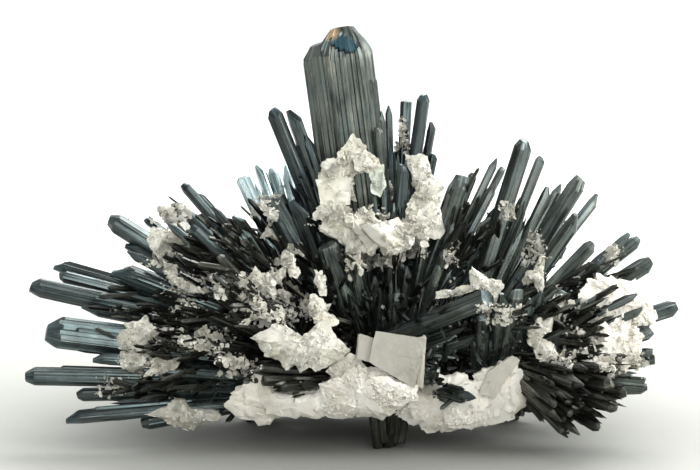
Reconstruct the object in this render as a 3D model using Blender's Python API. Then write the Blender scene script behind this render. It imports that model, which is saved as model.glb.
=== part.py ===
"""Stibnite crystal spray: bundles of striated grey prisms that radiate from an intergrown root
mass, with crusts of white baryte plates grown over and between them.

Frame: metres, +Z up, the origin on the table under the middle of the specimen. The broad
display side faces -Y, with +X to its right. Every bundle of crystals that have grown into one
another is one solid, and bundles, root mass and crusts meet with a small gap.
"""

import math
import random
from collections import namedtuple

import bmesh
import bpy
from mathutils import Matrix, Vector

MM = 0.001

# Driving dimensions, in millimetres. The tables below are set out in a working frame with x and
# y measured from the middle of the tallest blade; PLAN_CENTRE is the middle of the footprint.
PLAN_CENTRE = (1.12, 6.45)
GAP = 0.3  # clearance between neighbouring solids
ROOT_WIDTH = 0.8  # a prism's width at its bundle's root, as a share of its full width

# Prism sections, as shares of the half width and half thickness: thin prisms are rhombic,
# stout ones have eight sides.
RHOMB = ((1, 0), (0, 1), (-1, 0), (0, -1))
SIX_SIDED = ((1, 0), (0.5, 1), (-0.5, 1), (-1, 0), (-0.5, -1), (0.5, -1))
EIGHT_SIDED = (
    (1, -0.4), (1, 0.4), (0.55, 1), (-0.55, 1), (-1, 0.4), (-1, -0.4), (-0.55, -1), (0.55, -1),
)
SQUARE = ((1, 1), (-1, 1), (-1, -1), (1, -1))
SIX_SIDED_FROM = 3.2
EIGHT_SIDED_FROM = 4.7

# Terminations: (height as a share of the width, end size across the width, across the
# thickness, sideways shift of the end as a share of the half width).
CAPS = {
    "point": (1.1, 0.25, 0.25, 0.0),
    "blunt": (0.45, 0.6, 0.55, 0.0),
    "slant": (0.8, 0.35, 0.5, 0.4),
    "chisel": (0.6, 0.7, 0.15, 0.0),
    "flat": (0.12, 0.85, 0.85, 0.0),
    "wedge": (0.42, 0.1, 0.5, 0.12),
}

Crystal = namedtuple("Crystal", "tip root width thick spin cap")
Lump = namedtuple("Lump", "centre half seed")
# A crust of plates: the outline gives offsets to the right and up from the centre, front and
# back the thickness each way at the middle, rim the share of it that is left at the edge. turn
# is the plan direction, in degrees from the display side, that it faces, and lean tips its top
# backwards.
Slab = namedtuple("Slab", "centre outline front back rim turn lean")


ROOT_SPREAD = 6.0  # how far a fan's outer roots stand from its middle, over the sine of the angle


def fan(seed, root, aim, spread, count, length, width, caps=("blunt", "slant", "chisel")):
    """Crystals that diverge from one root: directions on a sunflower spiral about the aim, out
    to the spread in degrees, with length and width drawn between the two limits of each."""
    rng = random.Random(seed)
    aim = Vector(aim).normalized()
    across = aim.cross(Vector((0, 0, 1))).normalized()
    upward = across.cross(aim)
    made = []
    for i in range(count):
        off = math.radians(spread) * math.sqrt((i + 0.5) / count)
        turn = math.radians(137.5) * i + rng.uniform(-0.3, 0.3)
        lean = math.cos(turn) * across + math.sin(turn) * upward
        way = math.cos(off) * aim + math.sin(off) * lean
        base = Vector(root) + ROOT_SPREAD * math.sin(off) * lean
        wide = rng.uniform(*width)
        reach = rng.uniform(*length)
        thick = wide * rng.uniform(0.7, 0.95)
        spin = rng.uniform(-40, 40)
        made.append(
            Crystal(tuple(base + reach * way), tuple(base), wide, thick, spin, rng.choice(caps))
        )
    return made


# Bundles of stibnite prisms, from the front and the crown to the back. Each crystal: tip, root,
# width, thickness, turn about its own axis in degrees, termination. Where two bundles would
# meet, the earlier one keeps its shape.
BUNDLES = {
    "crown_blade": [
        Crystal((-2.3, 3, 81.0), (4.6, 3, 26), 10.6, 6.2, 0, "wedge"),
        Crystal((-8.1, 3.2, 77.2), (-1.2, 3.2, 26), 3.6, 5.4, 0, "slant"),
        Crystal((2.2, 3.4, 75.4), (9.4, 3.4, 26), 3.0, 5.0, 8, "slant"),
        Crystal((5.4, 0.6, 61.4), (7.6, 1.6, 28), 2.2, 2.0, 20, "blunt"),
        Crystal((6.2, 2.8, 64.4), (8.0, 2.6, 28), 1.5, 1.5, 0, "point"),
    ],
    "crown_left_prisms": [
        Crystal((-15.2, -2, 65.3), (-1.5, -2, 31), 3.4, 3.0, 20, "blunt"),
        Crystal((-11.6, -1, 65.0), (0.5, -1, 31), 3.0, 2.6, -10, "slant"),
        Crystal((-8.7, -2, 60.0), (0.5, -2, 33), 2.1, 1.8, 0, "point"),
        Crystal((-15.6, -5, 48.2), (-3.5, -4, 27), 5.2, 3.8, 12, "flat"),
        Crystal((-10.8, -6, 47.8), (-3.0, -4.5, 27), 4.6, 3.4, -14, "slant"),
    ],
    "crown_right_prisms": [
        Crystal((14.8, 6, 67.6), (9.6, 6, 30), 2.9, 2.5, 10, "blunt"),
        Crystal((16.6, 8, 61.8), (11.0, 6.5, 30), 1.8, 1.5, 0, "slant"),
        Crystal((16.8, 6, 55.6), (11.6, 5, 30), 1.8, 1.6, 0, "blunt"),
        Crystal((11.4, 14, 65.8), (9.8, 9, 30), 2.5, 2.2, 0, "flat"),
        Crystal((7.8, 13, 64.8), (8.8, 9, 30), 1.5, 1.2, 30, "point"),
    ],
    "crown_front_prisms": [
        Crystal((10.6, -3.2, 54.4), (8.6, -2.4, 31), 3.4, 2.6, 15, "blunt"),
        Crystal((6.6, -4.6, 50.6), (7.4, -3.4, 31), 1.8, 1.5, 0, "slant"),
        Crystal((4.4, -4.4, 49.0), (6.4, -3.4, 31), 1.7, 1.4, 20, "blunt"),
        Crystal((8.6, -5.2, 47.0), (8.0, -3.8, 31), 1.6, 1.4, 0, "point"),
    ],
    "back_left_blades": [
        Crystal((-22.0, 16, 50.0), (-6.9, 6.8, 18.6), 3.3, 2.2, 0, "flat"),
        Crystal((-18.8, 18, 52.4), (-6.3, 7.8, 18.6), 2.5, 2.0, 10, "slant"),
        Crystal((-16.0, 18, 51.6), (-5.8, 7.8, 18.8), 2.6, 2.0, -10, "blunt"),
        Crystal((-13.2, 18, 52.2), (-4.8, 7.8, 18.7), 2.7, 2.2, 0, "point"),
    ],
    "upper_left_prisms": [
        Crystal((-33.2, 2, 50.0), (-11.5, 0, 25), 2.3, 2.0, 0, "blunt"),
        Crystal((-30.6, 4, 48.2), (-10.0, 1.5, 25.5), 1.8, 1.6, 20, "slant"),
        Crystal((-35.8, -6, 43.2), (-12.5, -2.5, 23), 1.8, 1.6, 0, "point"),
        Crystal((-31.0, -8, 42.7), (-11.5, -4, 23), 2.2, 1.8, 0, "chisel"),
        Crystal((-22.4, -10, 42.0), (-10.5, -5, 22), 4.8, 3.8, 10, "blunt"),
        Crystal((-22.6, -3, 44.4), (-9.0, -1.5, 25), 2.3, 2.0, 0, "slant"),
        Crystal((-27.0, -3, 46.0), (-10.5, -1.5, 25), 1.9, 1.6, 0, "point"),
    ],
    "left_high_prisms": [
        Crystal((-48.8, 10, 42.2), (-9.9, 4.2, 18.4), 4.3, 3.7, 15, "blunt"),
        Crystal((-45.2, 9, 37.4), (-10.5, 5.0, 18.0), 3.2, 2.8, 0, "slant"),
        Crystal((-42.0, 16, 41.4), (-10.4, 6.8, 19.1), 1.9, 1.6, 0, "blunt"),
        Crystal((-39.2, 21, 43.4), (-9.7, 7.8, 18.8), 3.2, 2.6, 0, "slant"),
        Crystal((-36.4, 22, 43.8), (-8.9, 8.8, 19.3), 3.1, 2.4, 20, "blunt"),
    ],
    "left_long_prisms": [
        Crystal((-44.0, -2, 37.0), (-13.5, -1, 20), 2.1, 1.8, 0, "point"),
        Crystal((-59.2, 4, 33.6), (-15.5, 1.5, 21.5), 2.9, 2.4, 0, "slant"),
        Crystal((-58.0, 1.2, 31.8), (-15.5, 0.5, 21), 2.7, 2.2, 25, "blunt"),
        Crystal((-47.0, -1, 33.4), (-15.0, -0.5, 21.0), 4.4, 3.4, 10, "slant"),
        Crystal((-63.2, -2, 30.2), (-15.5, -1, 19.5), 4.2, 3.6, 0, "blunt"),
        Crystal((-53.0, -4, 26.2), (-15.0, -2, 18), 2.7, 2.2, 0, "point"),
    ],
    "left_stout_prism": [
        Crystal((-59.4, -9.5, 22.4), (-15.0, -7.5, 16.4), 6.2, 5.2, 18, "blunt"),
        Crystal((-49.8, -13, 17.6), (-15.0, -9, 14.6), 2.4, 2.0, 0, "slant"),
        Crystal((-38.0, -15, 20.0), (-14.5, -10, 15.6), 3.3, 2.6, 0, "flat"),
    ],
    "lower_left_prisms": [
        Crystal((-63.4, -10, 13.6), (-14.0, -6.5, 12.0), 3.9, 3.2, 10, "blunt"),
        Crystal((-53.2, -12, 10.2), (-14.0, -8, 10.4), 2.9, 2.4, 0, "blunt"),
        Crystal((-44.6, -16, 13.0), (-13.5, -11, 11.8), 1.8, 1.5, 0, "point"),
        Crystal((-55.0, -15, 6.2), (-13.0, -10, 9.2), 3.1, 2.4, 0, "slant"),
        Crystal((-40.8, -12, 4.6), (-20.0, -9.5, 8.0), 3.4, 2.8, 0, "blunt"),
        Crystal((-35.0, -18.5, 15.8), (-12.0, -11.5, 13), 2.0, 1.7, 0, "point"),
    ],
    "left_inner_prisms": fan(
        11, (-9.5, -7, 17), (-0.8, -0.42, 0.44), 24, 10, (18, 28), (1.8, 2.6), ("point", "blunt")
    ),
    "heart_prisms": [
        Crystal((0.4, -12, 37.6), (3.6, -6.5, 19), 3.7, 3.0, 10, "chisel"),
        Crystal((-4.4, -10.5, 39.6), (1.6, -5.5, 19), 4.6, 3.6, 0, "flat"),
        Crystal((14.6, -9, 39.8), (10.4, -5.5, 19), 2.0, 1.7, 0, "point"),
        Crystal((17.4, -11, 35.4), (11.4, -6.5, 18.5), 2.1, 1.8, 20, "blunt"),
        Crystal((8.0, -8, 36.4), (7.4, -5, 19), 2.6, 2.2, 0, "blunt"),
        Crystal((11.4, -10, 35.0), (9.4, -5.5, 18.5), 2.1, 1.8, 0, "slant"),
        Crystal((4.8, -13, 33.6), (6.0, -7, 17.5), 2.4, 2.0, 0, "point"),
        Crystal((9.2, -14.5, 30.6), (8.0, -8, 17), 2.2, 1.9, 0, "chisel"),
        Crystal((-1.6, -14, 32.8), (4.0, -7.5, 17.5), 2.4, 2.0, 0, "point"),
    ],
    "right_block_prisms": [
        Crystal((22.2, -3, 52.2), (12.0, -1.5, 23), 4.4, 3.6, 8, "chisel"),
        Crystal((20.4, -6.4, 43.2), (13.0, -3, 22), 2.6, 2.2, 0, "slant"),
        Crystal((24.6, 1.6, 52.2), (13.6, 1, 24), 2.0, 1.7, 0, "blunt"),
        Crystal((29.6, 10, 54.4), (14.4, 3.2, 23.5), 1.7, 1.4, 0, "point"),
        Crystal((31.0, 11, 52.4), (15.0, 3.4, 23), 1.7, 1.4, 0, "chisel"),
        Crystal((29.2, 3.5, 50.4), (15.4, 1.0, 24), 2.0, 1.7, 0, "point"),
    ],
    "upper_right_prisms": [
        Crystal((34.6, 0, 59.0), (22.8, -0.5, 21), 4.0, 3.6, 12, "blunt"),
        Crystal((38.2, 4.5, 55.2), (25.0, 2.5, 21), 2.2, 1.9, 0, "blunt"),
        Crystal((39.6, 3, 49.2), (26.0, 1, 20.5), 2.0, 1.7, 0, "slant"),
        Crystal((42.2, 6, 49.6), (27.0, 3, 20.5), 2.0, 1.8, 0, "point"),
        Crystal((45.8, 1, 51.3), (26.4, 0, 20), 3.9, 3.3, 10, "chisel"),
        Crystal((50.0, 8, 47.0), (28.4, 3.5, 20), 2.3, 2.0, 0, "slant"),
        Crystal((44.8, -4.2, 44.4), (27.4, -2.6, 18.5), 3.4, 3.0, 14, "slant"),
        Crystal((47.8, -4.6, 39.0), (28.4, -3, 18), 3.3, 2.4, 20, "blunt"),
    ],
    "right_prisms": [
        Crystal((58.0, 5, 38.6), (30.5, 2, 17.5), 2.9, 2.4, 0, "blunt"),
        Crystal((56.0, 3.6, 39.6), (30.5, 1.5, 18), 2.4, 2.0, 20, "slant"),
        Crystal((60.0, 1, 34.6), (31.0, 0, 16.5), 4.0, 3.2, 15, "blunt"),
        Crystal((65.4, 2, 25.4), (31.0, 0.5, 14.5), 3.9, 3.4, 20, "blunt"),
    ],
    "right_low_prisms": [
        Crystal((59.6, -6, 21.6), (30.5, -4.5, 11.5), 2.9, 2.4, 0, "blunt"),
        Crystal((60.4, -4, 15.8), (30.5, -3.5, 10.0), 2.3, 1.9, 0, "flat"),
        Crystal((58.2, -9, 11.0), (30.5, -5.5, 9.0), 2.6, 2.2, 0, "blunt"),
    ],
    "front_right_prism": [
        Crystal((26.3, -23, 30.9), (7.0, -12.5, 21.0), 4.4, 4.0, 12, "flat"),
        Crystal((24.0, -19, 22.4), (10.0, -12.5, 16.5), 2.4, 2.0, 0, "slant"),
    ],
    "front_right_blades": [
        Crystal((25.2, -20, 26.8), (25.4, -11.5, 14), 2.6, 1.8, 0, "flat"),
        Crystal((29.3, -21, 31.4), (28.0, -11.5, 14), 2.9, 2.0, 0, "slant"),
        Crystal((31.8, -20.5, 32.2), (29.2, -11.5, 14), 3.3, 2.2, 8, "chisel"),
        Crystal((34.2, -19.5, 30.2), (30.4, -11.0, 14), 2.8, 2.0, -8, "point"),
        Crystal((37.2, -16.5, 31.2), (31.0, -10.0, 14.5), 2.8, 2.2, 20, "slant"),
        Crystal((41.2, -14.0, 30.8), (31.4, -9.0, 15), 2.6, 1.9, 0, "chisel"),
    ],
    "lower_right_tuft": fan(
        23, (33.5, -11, 15), (0.77, -0.62, -0.03), 19, 11, (16, 23), (2.1, 3.2),
        ("point", "blunt")
    ),
    "front_low_prism": [
        Crystal((23.6, -27.5, 12.6), (13.0, -14, 12.0), 2.1, 1.5, 0, "point"),
        Crystal((17.0, -24.0, 16.8), (11.0, -13.5, 12.0), 2.0, 1.5, 0, "slant"),
    ],
    "back_crown_fan": fan(31, (6, 11, 27), (0.05, 0.55, 0.84), 21, 8, (20, 33), (2.1, 3.8)),
    "back_left_fan": fan(37, (-11, 13, 19), (-0.72, 0.6, 0.3), 23, 8, (28, 40), (2.4, 4.4)),
    "back_middle_fan": fan(41, (2, 16.5, 18), (-0.1, 0.9, 0.42), 26, 7, (17, 25), (2.6, 4.6)),
    "back_right_fan": fan(43, (20, 14.5, 18), (0.42, 0.78, 0.46), 23, 8, (20, 30), (2.4, 4.2)),
    "right_back_fan": fan(47, (29.5, 8, 15.5), (0.83, 0.5, 0.22), 21, 8, (22, 32), (2.1, 3.8)),
    "back_high_right_fan": fan(53, (18, 9, 24), (0.5, 0.42, 0.76), 17, 7, (19, 30), (2.1, 3.2)),
}

# Where each bundle's crystals have grown into one mass: how far from root to tip, as a share,
# and the radius there in millimetres.
KNOT_ALONG = 0.1
KNOT_RADIUS = {
    "crown_blade": 4.2,
    "crown_left_prisms": 4.2,
    "crown_right_prisms": 3.4,
    "crown_front_prisms": 3.0,
    "back_left_blades": 3.2,
    "upper_left_prisms": 4.6,
    "left_high_prisms": 4.4,
    "left_long_prisms": 4.4,
    "left_stout_prism": 3.8,
    "lower_left_prisms": 4.4,
    "left_inner_prisms": 4.4,
    "heart_prisms": 6.2,
    "right_block_prisms": 4.8,
    "upper_right_prisms": 5.0,
    "right_prisms": 4.4,
    "right_low_prisms": 3.4,
    "front_right_prism": 3.6,
    "front_right_blades": 5.0,
    "lower_right_tuft": 4.6,
    "front_low_prism": 2.6,
    "back_crown_fan": 4.2,
    "back_left_fan": 4.6,
    "back_middle_fan": 4.8,
    "back_right_fan": 4.6,
    "right_back_fan": 4.4,
    "back_high_right_fan": 3.8,
}

# The root mass: the intergrown, fine-grained body that everything grows from, broken off flat
# on three low feet that the specimen stands on.
ROOT_MASS = Lump((7, 2, 15), (30, 15.5, 11.5), 3)
FOOT_HEIGHT = 10.0
FEET = (
    # centre x, y on the table, radius at the table, radius at the top
    (7.4, -13.5, 3.2, 5.4),
    (-18.0, 13.0, 3.8, 7.0),
    (33.0, 12.0, 3.8, 7.0),
)
FOOT_SIDES = 7

# Baryte crusts and single plates.
BARYTES = {
    "baryte_tile": [
        Slab((8.9, -23.4, 19.7),
             [(-4.1, 4.9), (5.6, 3.6), (4.6, -0.8), (3.4, -5.9), (-1.2, -3.4), (-5.4, -1.0)],
             0.7, 0.9, 1.0, 0, 6),
        Slab((3.0, -22.8, 21.0), [(-1.3, 3.2), (2.0, 2.0), (2.6, -2.8), (-1.9, -1.9)],
             0.4, 1.6, 1.0, 14, 4),
    ],
    "baryte_crown": [
        Slab((-1.8, -3.6, 52.0),
             [(-3.1, -6.7), (3.3, -5.3), (3.9, 1.6), (6.1, 2.4), (7.8, 3.2), (5.9, 5.5),
              (3.9, 7.5), (2.0, 8.3), (0, 6.7), (-1.2, 4.5), (-4.3, 3.4), (-5.9, 0.2),
              (-4.7, -2.4)],
             2.6, 2.6, 0.4, 0, 6),
        Slab((5.2, -5.2, 51.0), [(-1.9, 3.4), (1.6, 3.8), (2.0, -1.2), (1.0, -3.4), (-1.3, -2.4)],
             0.5, 0.7, 1.0, -8, 6),
    ],
    "baryte_shoulder": [
        Slab((14.8, -3.6, 47.9),
             [(-4.3, 8.9), (0.4, 9.1), (1.4, 5.8), (4.1, 2.2), (3.1, -1.6), (4.1, -7.1),
              (2.4, -8.9), (-0.8, -8.5), (-4.5, -5.2), (-3.3, -1.0), (-2.4, 3.4)],
             2.4, 4.4, 0.5, 0, 14),
    ],
    "baryte_collar": [
        Slab((3.5, -8.4, 41.2),
             [(-8.5, 3.7), (-5.4, 2.7), (-3.1, 3.5), (-1.0, 5.5), (1.7, 3.5), (4.1, 2.3),
              (6.2, 3.4), (9.7, -0.8), (8.1, -3.7), (5.2, -5.0), (2.6, -2.9), (1.4, -5.0),
              (-1.6, -4.3), (-4.3, -4.9), (-6.0, -1.4), (-9.7, 0.4)],
             3.0, 3.4, 0.4, 0, 22),
    ],
    "baryte_left_upper": [
        Slab((-17.7, -12.6, 32.6),
             [(-0.4, 3.1), (1.0, 2.2), (1.9, 1.2), (5.4, 2.3), (5.8, 1.0), (3.1, -1.0),
              (2.9, -2.5), (0.8, -1.9), (-0.4, -4.1), (-1.9, -3.5), (-3.5, -1.4), (-3.1, 0.4),
              (-1.9, 1.7)],
             2.2, 2.8, 0.4, 0, 20),
        Slab((-10.8, -13.0, 34.9),
             [(-0.4, 3.1), (0.4, 1.6), (1.7, -0.4), (1.0, -2.1), (-0.8, -1.7), (-2.0, 0.4),
              (-2.3, 3.3)],
             1.6, 2.6, 0.5, 0, 10),
    ],
    "baryte_middle": [
        Slab((-5.6, -14.6, 32.3),
             [(-1.4, 3.5), (0.3, 3.2), (1.2, 1.3), (1.9, -1.1), (1.3, -2.9), (-0.3, -3.1),
              (-1.4, -1.1), (-2.2, 0.6)],
             1.8, 2.8, 0.5, 0, 10),
        Slab((-5.5, -16.4, 27.2),
             [(-2.7, 3.9), (-1.2, 3.7), (0.3, 2.7), (2.7, 2.1), (1.6, -0.2), (3.9, -1.9),
              (2.9, -3.1), (-1.2, -3.1), (-2.7, 0)],
             1.8, 3.0, 0.5, 0, 10),
    ],
    "baryte_left_lump": [
        Slab((-8.9, -21.0, 20.8),
             [(-10.0, 2.1), (-7.7, 3.6), (-6.6, 5.3), (-3.4, 4.9), (-0.6, 3.2), (2.3, 4.8),
              (5.1, 5.7), (6.2, 3.2), (9.8, 0), (7.9, -2.3), (2.8, -5.1), (1.7, -4.2),
              (-0.4, -5.3), (-1.9, -4.0), (-4.1, -4.4), (-5.1, -2.3), (-7.7, -1.5)],
             3.2, 5.0, 0.35, 0, 8),
    ],
    "baryte_base_left": [
        Slab((-14.3, -18.6, 10.5),
             [(-4.4, 6.9), (-1.7, 6.5), (-1.0, 4.2), (0.2, 2.7), (3.8, 3.4), (8.2, 4.2),
              (11.4, 3.2), (11.4, -1.9), (8.2, -1.7), (5.5, -2.7), (1.0, -3.8), (-3.8, -5.9),
              (-5.3, -4.4), (-9.7, -1.7), (-10.5, -0.4), (-7.6, 2.9)],
             2.4, 5.0, 0.4, 0, -14),
        Slab((2.3, -20.6, 12.2),
             [(-8.4, 2.5), (-4.4, 3.8), (-2.3, 6.3), (-0.4, 6.9), (1.3, 5.7), (4.4, 4.8),
              (7.2, 1.5), (10.3, -1.0), (6.3, -3.6), (4.2, -5.0), (2.3, -5.3), (-1.0, -4.8),
              (-4.4, -5.0), (-6.8, -4.4), (-8.7, -3.4)],
             3.4, 6.0, 0.4, 0, -8),
    ],
    "baryte_base_right": [
        Slab((17.1, -17.0, 9.6),
             [(-3.6, 5.8), (0.6, 6.7), (5.7, 6.3), (7.2, 1.0), (5.1, -5.6), (1.0, -6.7),
              (-3.0, -5.8), (-7.6, -3.6), (-10.3, -2.3), (-8.4, 0.6), (-5.1, 3.5)],
             2.4, 4.4, 0.35, -4, -10),
        Slab((28.6, -18.2, 11.9),
             [(-5.7, 3.5), (-3.4, 5.4), (0, 6.3), (2.9, 7.1), (6.5, 2.9), (5.9, -1.7),
              (3.2, -5.2), (-1.5, -6.5), (-5.7, -7.5), (-5.3, -2.3)],
             2.0, 4.4, 0.35, 4, -6),
    ],
    "baryte_right_blades": [
        Slab((25.4, -16.2, 32.8),
             [(-3.1, 1.7), (-2.5, 3.3), (-0.4, 2.5), (1.7, 0.6), (4.1, 0.6), (4.8, -1.4),
              (3.5, -2.7), (3.3, -5.0), (1.5, -4.5), (0.4, -1.7), (-2.7, -1.9)],
             2.0, 3.4, 0.45, 0, 10),
        Slab((19.9, -14.2, 30.6),
             [(-4.0, 0.2), (1.3, 1.7), (3.5, 1.8), (3.9, 0.2), (0, -0.9), (-3.6, -1.4)],
             1.8, 4.4, 0.6, 0, 10),
    ],
    "baryte_right_cluster": [
        Slab((36.1, -18.6, 23.7),
             [(-1.7, 2.1), (0, 3.2), (1.4, 2.9), (2.6, 3.0), (2.8, 0), (1.0, -1.3),
              (-0.6, -3.9), (-2.5, -2.9), (-3.2, -0.8)],
             1.6, 2.8, 0.4, 8, 4),
        Slab((37.6, -18.4, 19.4),
             [(-2.2, 3.4), (0.4, 3.6), (2.0, 2.8), (2.2, 0.2), (1.8, -3.6), (0.3, -4.0),
              (-1.5, -2.5), (-2.7, -0.6)],
             1.5, 3.2, 0.5, 8, 0),
    ],
    "baryte_right_sliver": [
        Slab((36.6, -8.4, 33.3),
             [(0.2, 4.1), (1.4, 2.7), (1.0, 0.6), (1.5, -2.9), (0.6, -4.5), (-0.8, -3.3),
              (-1.4, -2.0), (-3.1, -2.3), (-3.5, -1.4), (-1.5, 1.4)],
             1.2, 4.6, 0.5, 0, 6),
    ],
    "baryte_right_wall": [
        Slab((53.3, -4.4, 26.8),
             [(-10.8, -1.4), (-9.6, 2.6), (-5.5, 6.5), (-2.9, 5.9), (-0.6, 5.9), (3.1, 5.1),
              (3.7, 3.4), (6.3, 1.6), (5.9, -0.4), (6.9, -2.6), (6.1, -4.9), (3.5, -6.5),
              (-2.0, -5.9), (-6.3, -4.9), (-9.0, -3.9)],
             3.4, 4.4, 0.3, 14, 14),
        Slab((51.7, -6.6, 17.3),
             [(-6.5, 2.6), (-4.7, 4.5), (-0.4, 4.1), (5.1, 3.6), (5.7, 2.4), (5.5, 0.6),
              (6.1, -0.8), (4.3, -3.0), (2.9, -4.5), (2.0, -5.3), (-2.4, -6.1), (-4.1, -6.9),
              (-5.9, -4.5), (-6.3, -1.6), (-4.5, -0.3)],
             3.2, 4.0, 0.35, 14, -6),
    ],
    "baryte_left_crust": [
        Slab((-40.7, -10.8, 21.1),
             [(-5.2, -1.4), (-3.9, 1.6), (-3.1, 3.1), (-1.0, 3.9), (1.2, 5.1), (2.1, 3.9),
              (3.9, 1.4), (4.3, 0), (3.5, -1.8), (4.1, -3.5), (1.9, -3.5), (-4.7, -2.7)],
             2.4, 3.2, 0.4, -6, 10),
        Slab((-36.0, -14.0, 16.2),
             [(-2.3, 1.4), (0.2, 2.7), (2.7, 2.6), (5.6, 2.5), (3.6, 0.8), (2.5, -1.0),
              (0.2, -1.7), (-4.6, -2.5), (-2.9, -0.8)],
             1.4, 2.8, 0.5, 0, 6),
    ],
    "baryte_left_strip": [
        Slab((-28.4, -13.4, 21.6),
             [(0.8, 3.3), (1.5, 1.4), (4.4, 0.4), (2.3, -0.8), (-2.3, -2.3), (-4.1, -2.3),
              (-3.9, -1.3), (-2.1, -0.4), (-1.7, 1.5)],
             1.3, 2.6, 0.5, 0, 12),
    ],
    "baryte_left_plate": [
        Slab((-34.4, -4.8, 31.8),
             [(-2.5, 3.7), (0.2, 2.2), (0.8, 0.4), (4.1, -1.2), (6.2, -2.6), (4.5, -3.2),
              (-1.4, -1.2), (-2.1, 0.2)],
             0.9, 3.2, 0.6, 0, 18),
    ],
    "baryte_upper_left": [
        Slab((-36.0, -3.6, 39.6),
             [(-3.8, -0.6), (-3.2, 2.0), (-0.4, 2.0), (0.8, 3.4), (2.4, 4.0), (5.1, 2.8),
              (5.1, 0.8), (3.2, 0.4), (1.6, -0.6), (0, -1.8), (-2.2, -3.6), (-3.4, -2.6)],
             2.4, 5.6, 0.4, 0, 34),
    ],
    "baryte_left_foot": [
        Slab((-31.6, -14.6, 6.6),
             [(-8.4, 0.4), (-4.0, 1.9), (-2.7, 3.3), (-0.4, 3.1), (1.2, 1.4), (4.4, 1.2),
              (7.7, 0.6), (6.7, -0.8), (4.0, -1.2), (1.2, -3.1), (-0.8, -3.3), (-3.3, -1.9),
              (-4.4, -0.5)],
             1.8, 3.6, 0.4, -4, -10),
    ],
    "baryte_behind_crown": [
        Slab((-16.0, -3.2, 41.0), [(0, 2.2), (3.4, 0.2), (2.6, -2.4), (-1.8, -1.4), (-1.6, 0.6)],
             1.0, 2.4, 0.7, 0, 10),
    ],
    "baryte_back_crown": [
        Slab((5.4, 11.4, 46.6),
             [(-6.4, 0.6), (-4.6, 4.4), (-1.2, 6.2), (2.6, 5.0), (6.6, 2.4), (5.8, -2.0),
              (3.0, -5.4), (-2.2, -4.8), (-5.2, -3.4)],
             3.2, 4.2, 0.4, 176, 18),
    ],
    "baryte_back_base": [
        Slab((-7.0, 22.0, 10.6),
             [(-10.6, 1.4), (-7.0, 5.4), (-2.0, 6.6), (4.4, 5.6), (9.0, 3.0), (10.4, -1.6),
              (6.2, -5.2), (0.4, -6.2), (-6.2, -5.0), (-9.4, -2.4)],
             3.4, 6.6, 0.35, 186, -8),
        Slab((11.4, 22.6, 12.0),
             [(-9.2, -0.8), (-7.4, 4.0), (-2.6, 6.4), (3.8, 5.0), (8.4, 4.2), (9.6, -1.2),
              (4.8, -4.6), (-1.2, -6.4), (-6.4, -4.2)],
             3.0, 6.4, 0.35, 172, -6),
    ],
    "baryte_back_right": [
        Slab((34.0, 17.0, 13.4),
             [(-7.8, 0.8), (-5.2, 4.6), (-0.6, 6.2), (4.2, 4.4), (7.6, 1.2), (6.4, -3.2),
              (1.0, -5.4), (-4.8, -4.6)],
             3.0, 5.6, 0.35, 142, 8),
    ],
    "baryte_back_left": [
        Slab((-26.0, 15.6, 13.6),
             [(-7.2, -0.8), (-5.8, 3.6), (-1.4, 5.8), (3.6, 4.6), (7.6, 1.0), (5.2, -3.4),
              (0.2, -5.0), (-4.6, -4.2)],
             3.0, 5.6, 0.35, 212, 8),
    ],
}

CRUST_RELIEF = 0.35  # how far the crust's inner ring rises or dips, as a share of the thickness
INNER_RING = 0.55  # where that ring is, from the centre to the rim
RIM_GROWTH = 1.4  # how much further than the gap a rim corner grows, being pointed
KNOT_POINTS = 10
ROOT_MASS_POINTS = 20
LUMP_ROUGHNESS = 0.12

STIBNITE = ((0.055, 0.075, 0.085, 1), 0.32, 0.9)
BARYTE = ((0.75, 0.73, 0.66, 1), 0.45, 0.0)
ROOT_ROCK = ((0.03, 0.035, 0.035, 1), 0.55, 0.6)


def placed(point):
    """A point of the tables, in metres in the part's own frame."""
    x, y, z = point
    return Vector((x - PLAN_CENTRE[0], y - PLAN_CENTRE[1], z)) * MM


def mesh_of(shape):
    bmesh.ops.recalc_face_normals(shape, faces=shape.faces)
    mesh = bpy.data.meshes.new("form")
    shape.to_mesh(mesh)
    shape.free()
    return mesh


def hull(points):
    """The convex hull of the points, as a mesh with no loose parts."""
    shape = bmesh.new()
    for point in points:
        shape.verts.new(placed(point))
    bmesh.ops.convex_hull(shape, input=shape.verts)
    loose = [v for v in shape.verts if not v.link_faces]
    bmesh.ops.delete(shape, geom=loose, context="VERTS")
    return mesh_of(shape)


def across(axis, spin):
    """The two directions across a crystal's axis: along its width, in the display plane before
    the spin, and along its thickness."""
    side = axis.cross(Vector((0, 1, 0)))
    if side.length < 0.2:
        side = axis.cross(Vector((0, 0, 1)))
    side = Matrix.Rotation(math.radians(spin), 3, axis) @ side.normalized()
    return side, axis.cross(side)


def section_of(width):
    if width < SIX_SIDED_FROM:
        return RHOMB
    return SIX_SIDED if width < EIGHT_SIDED_FROM else EIGHT_SIDED


def prism(crystal):
    """A prism with its termination, from inside its bundle's knot outwards."""
    root, tip = Vector(crystal.root), Vector(crystal.tip)
    axis = (tip - root).normalized()
    length = (tip - root).length
    side, face = across(axis, crystal.spin)
    height, end_width, end_thick, shift = CAPS[crystal.cap]
    rings = (
        (KNOT_ALONG * length, ROOT_WIDTH, ROOT_WIDTH, 0.0),
        (length - height * crystal.width, 1.0, 1.0, 0.0),
        (length, end_width, end_thick, shift),
    )
    half_w, half_t = crystal.width / 2, crystal.thick / 2
    points = []
    for along, wide, thick, aside in rings:
        middle = root + axis * along + side * aside * half_w
        for u, v in section_of(crystal.width):
            points.append(middle + side * u * half_w * wide + face * v * half_t * thick)
    return hull(points)


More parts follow.
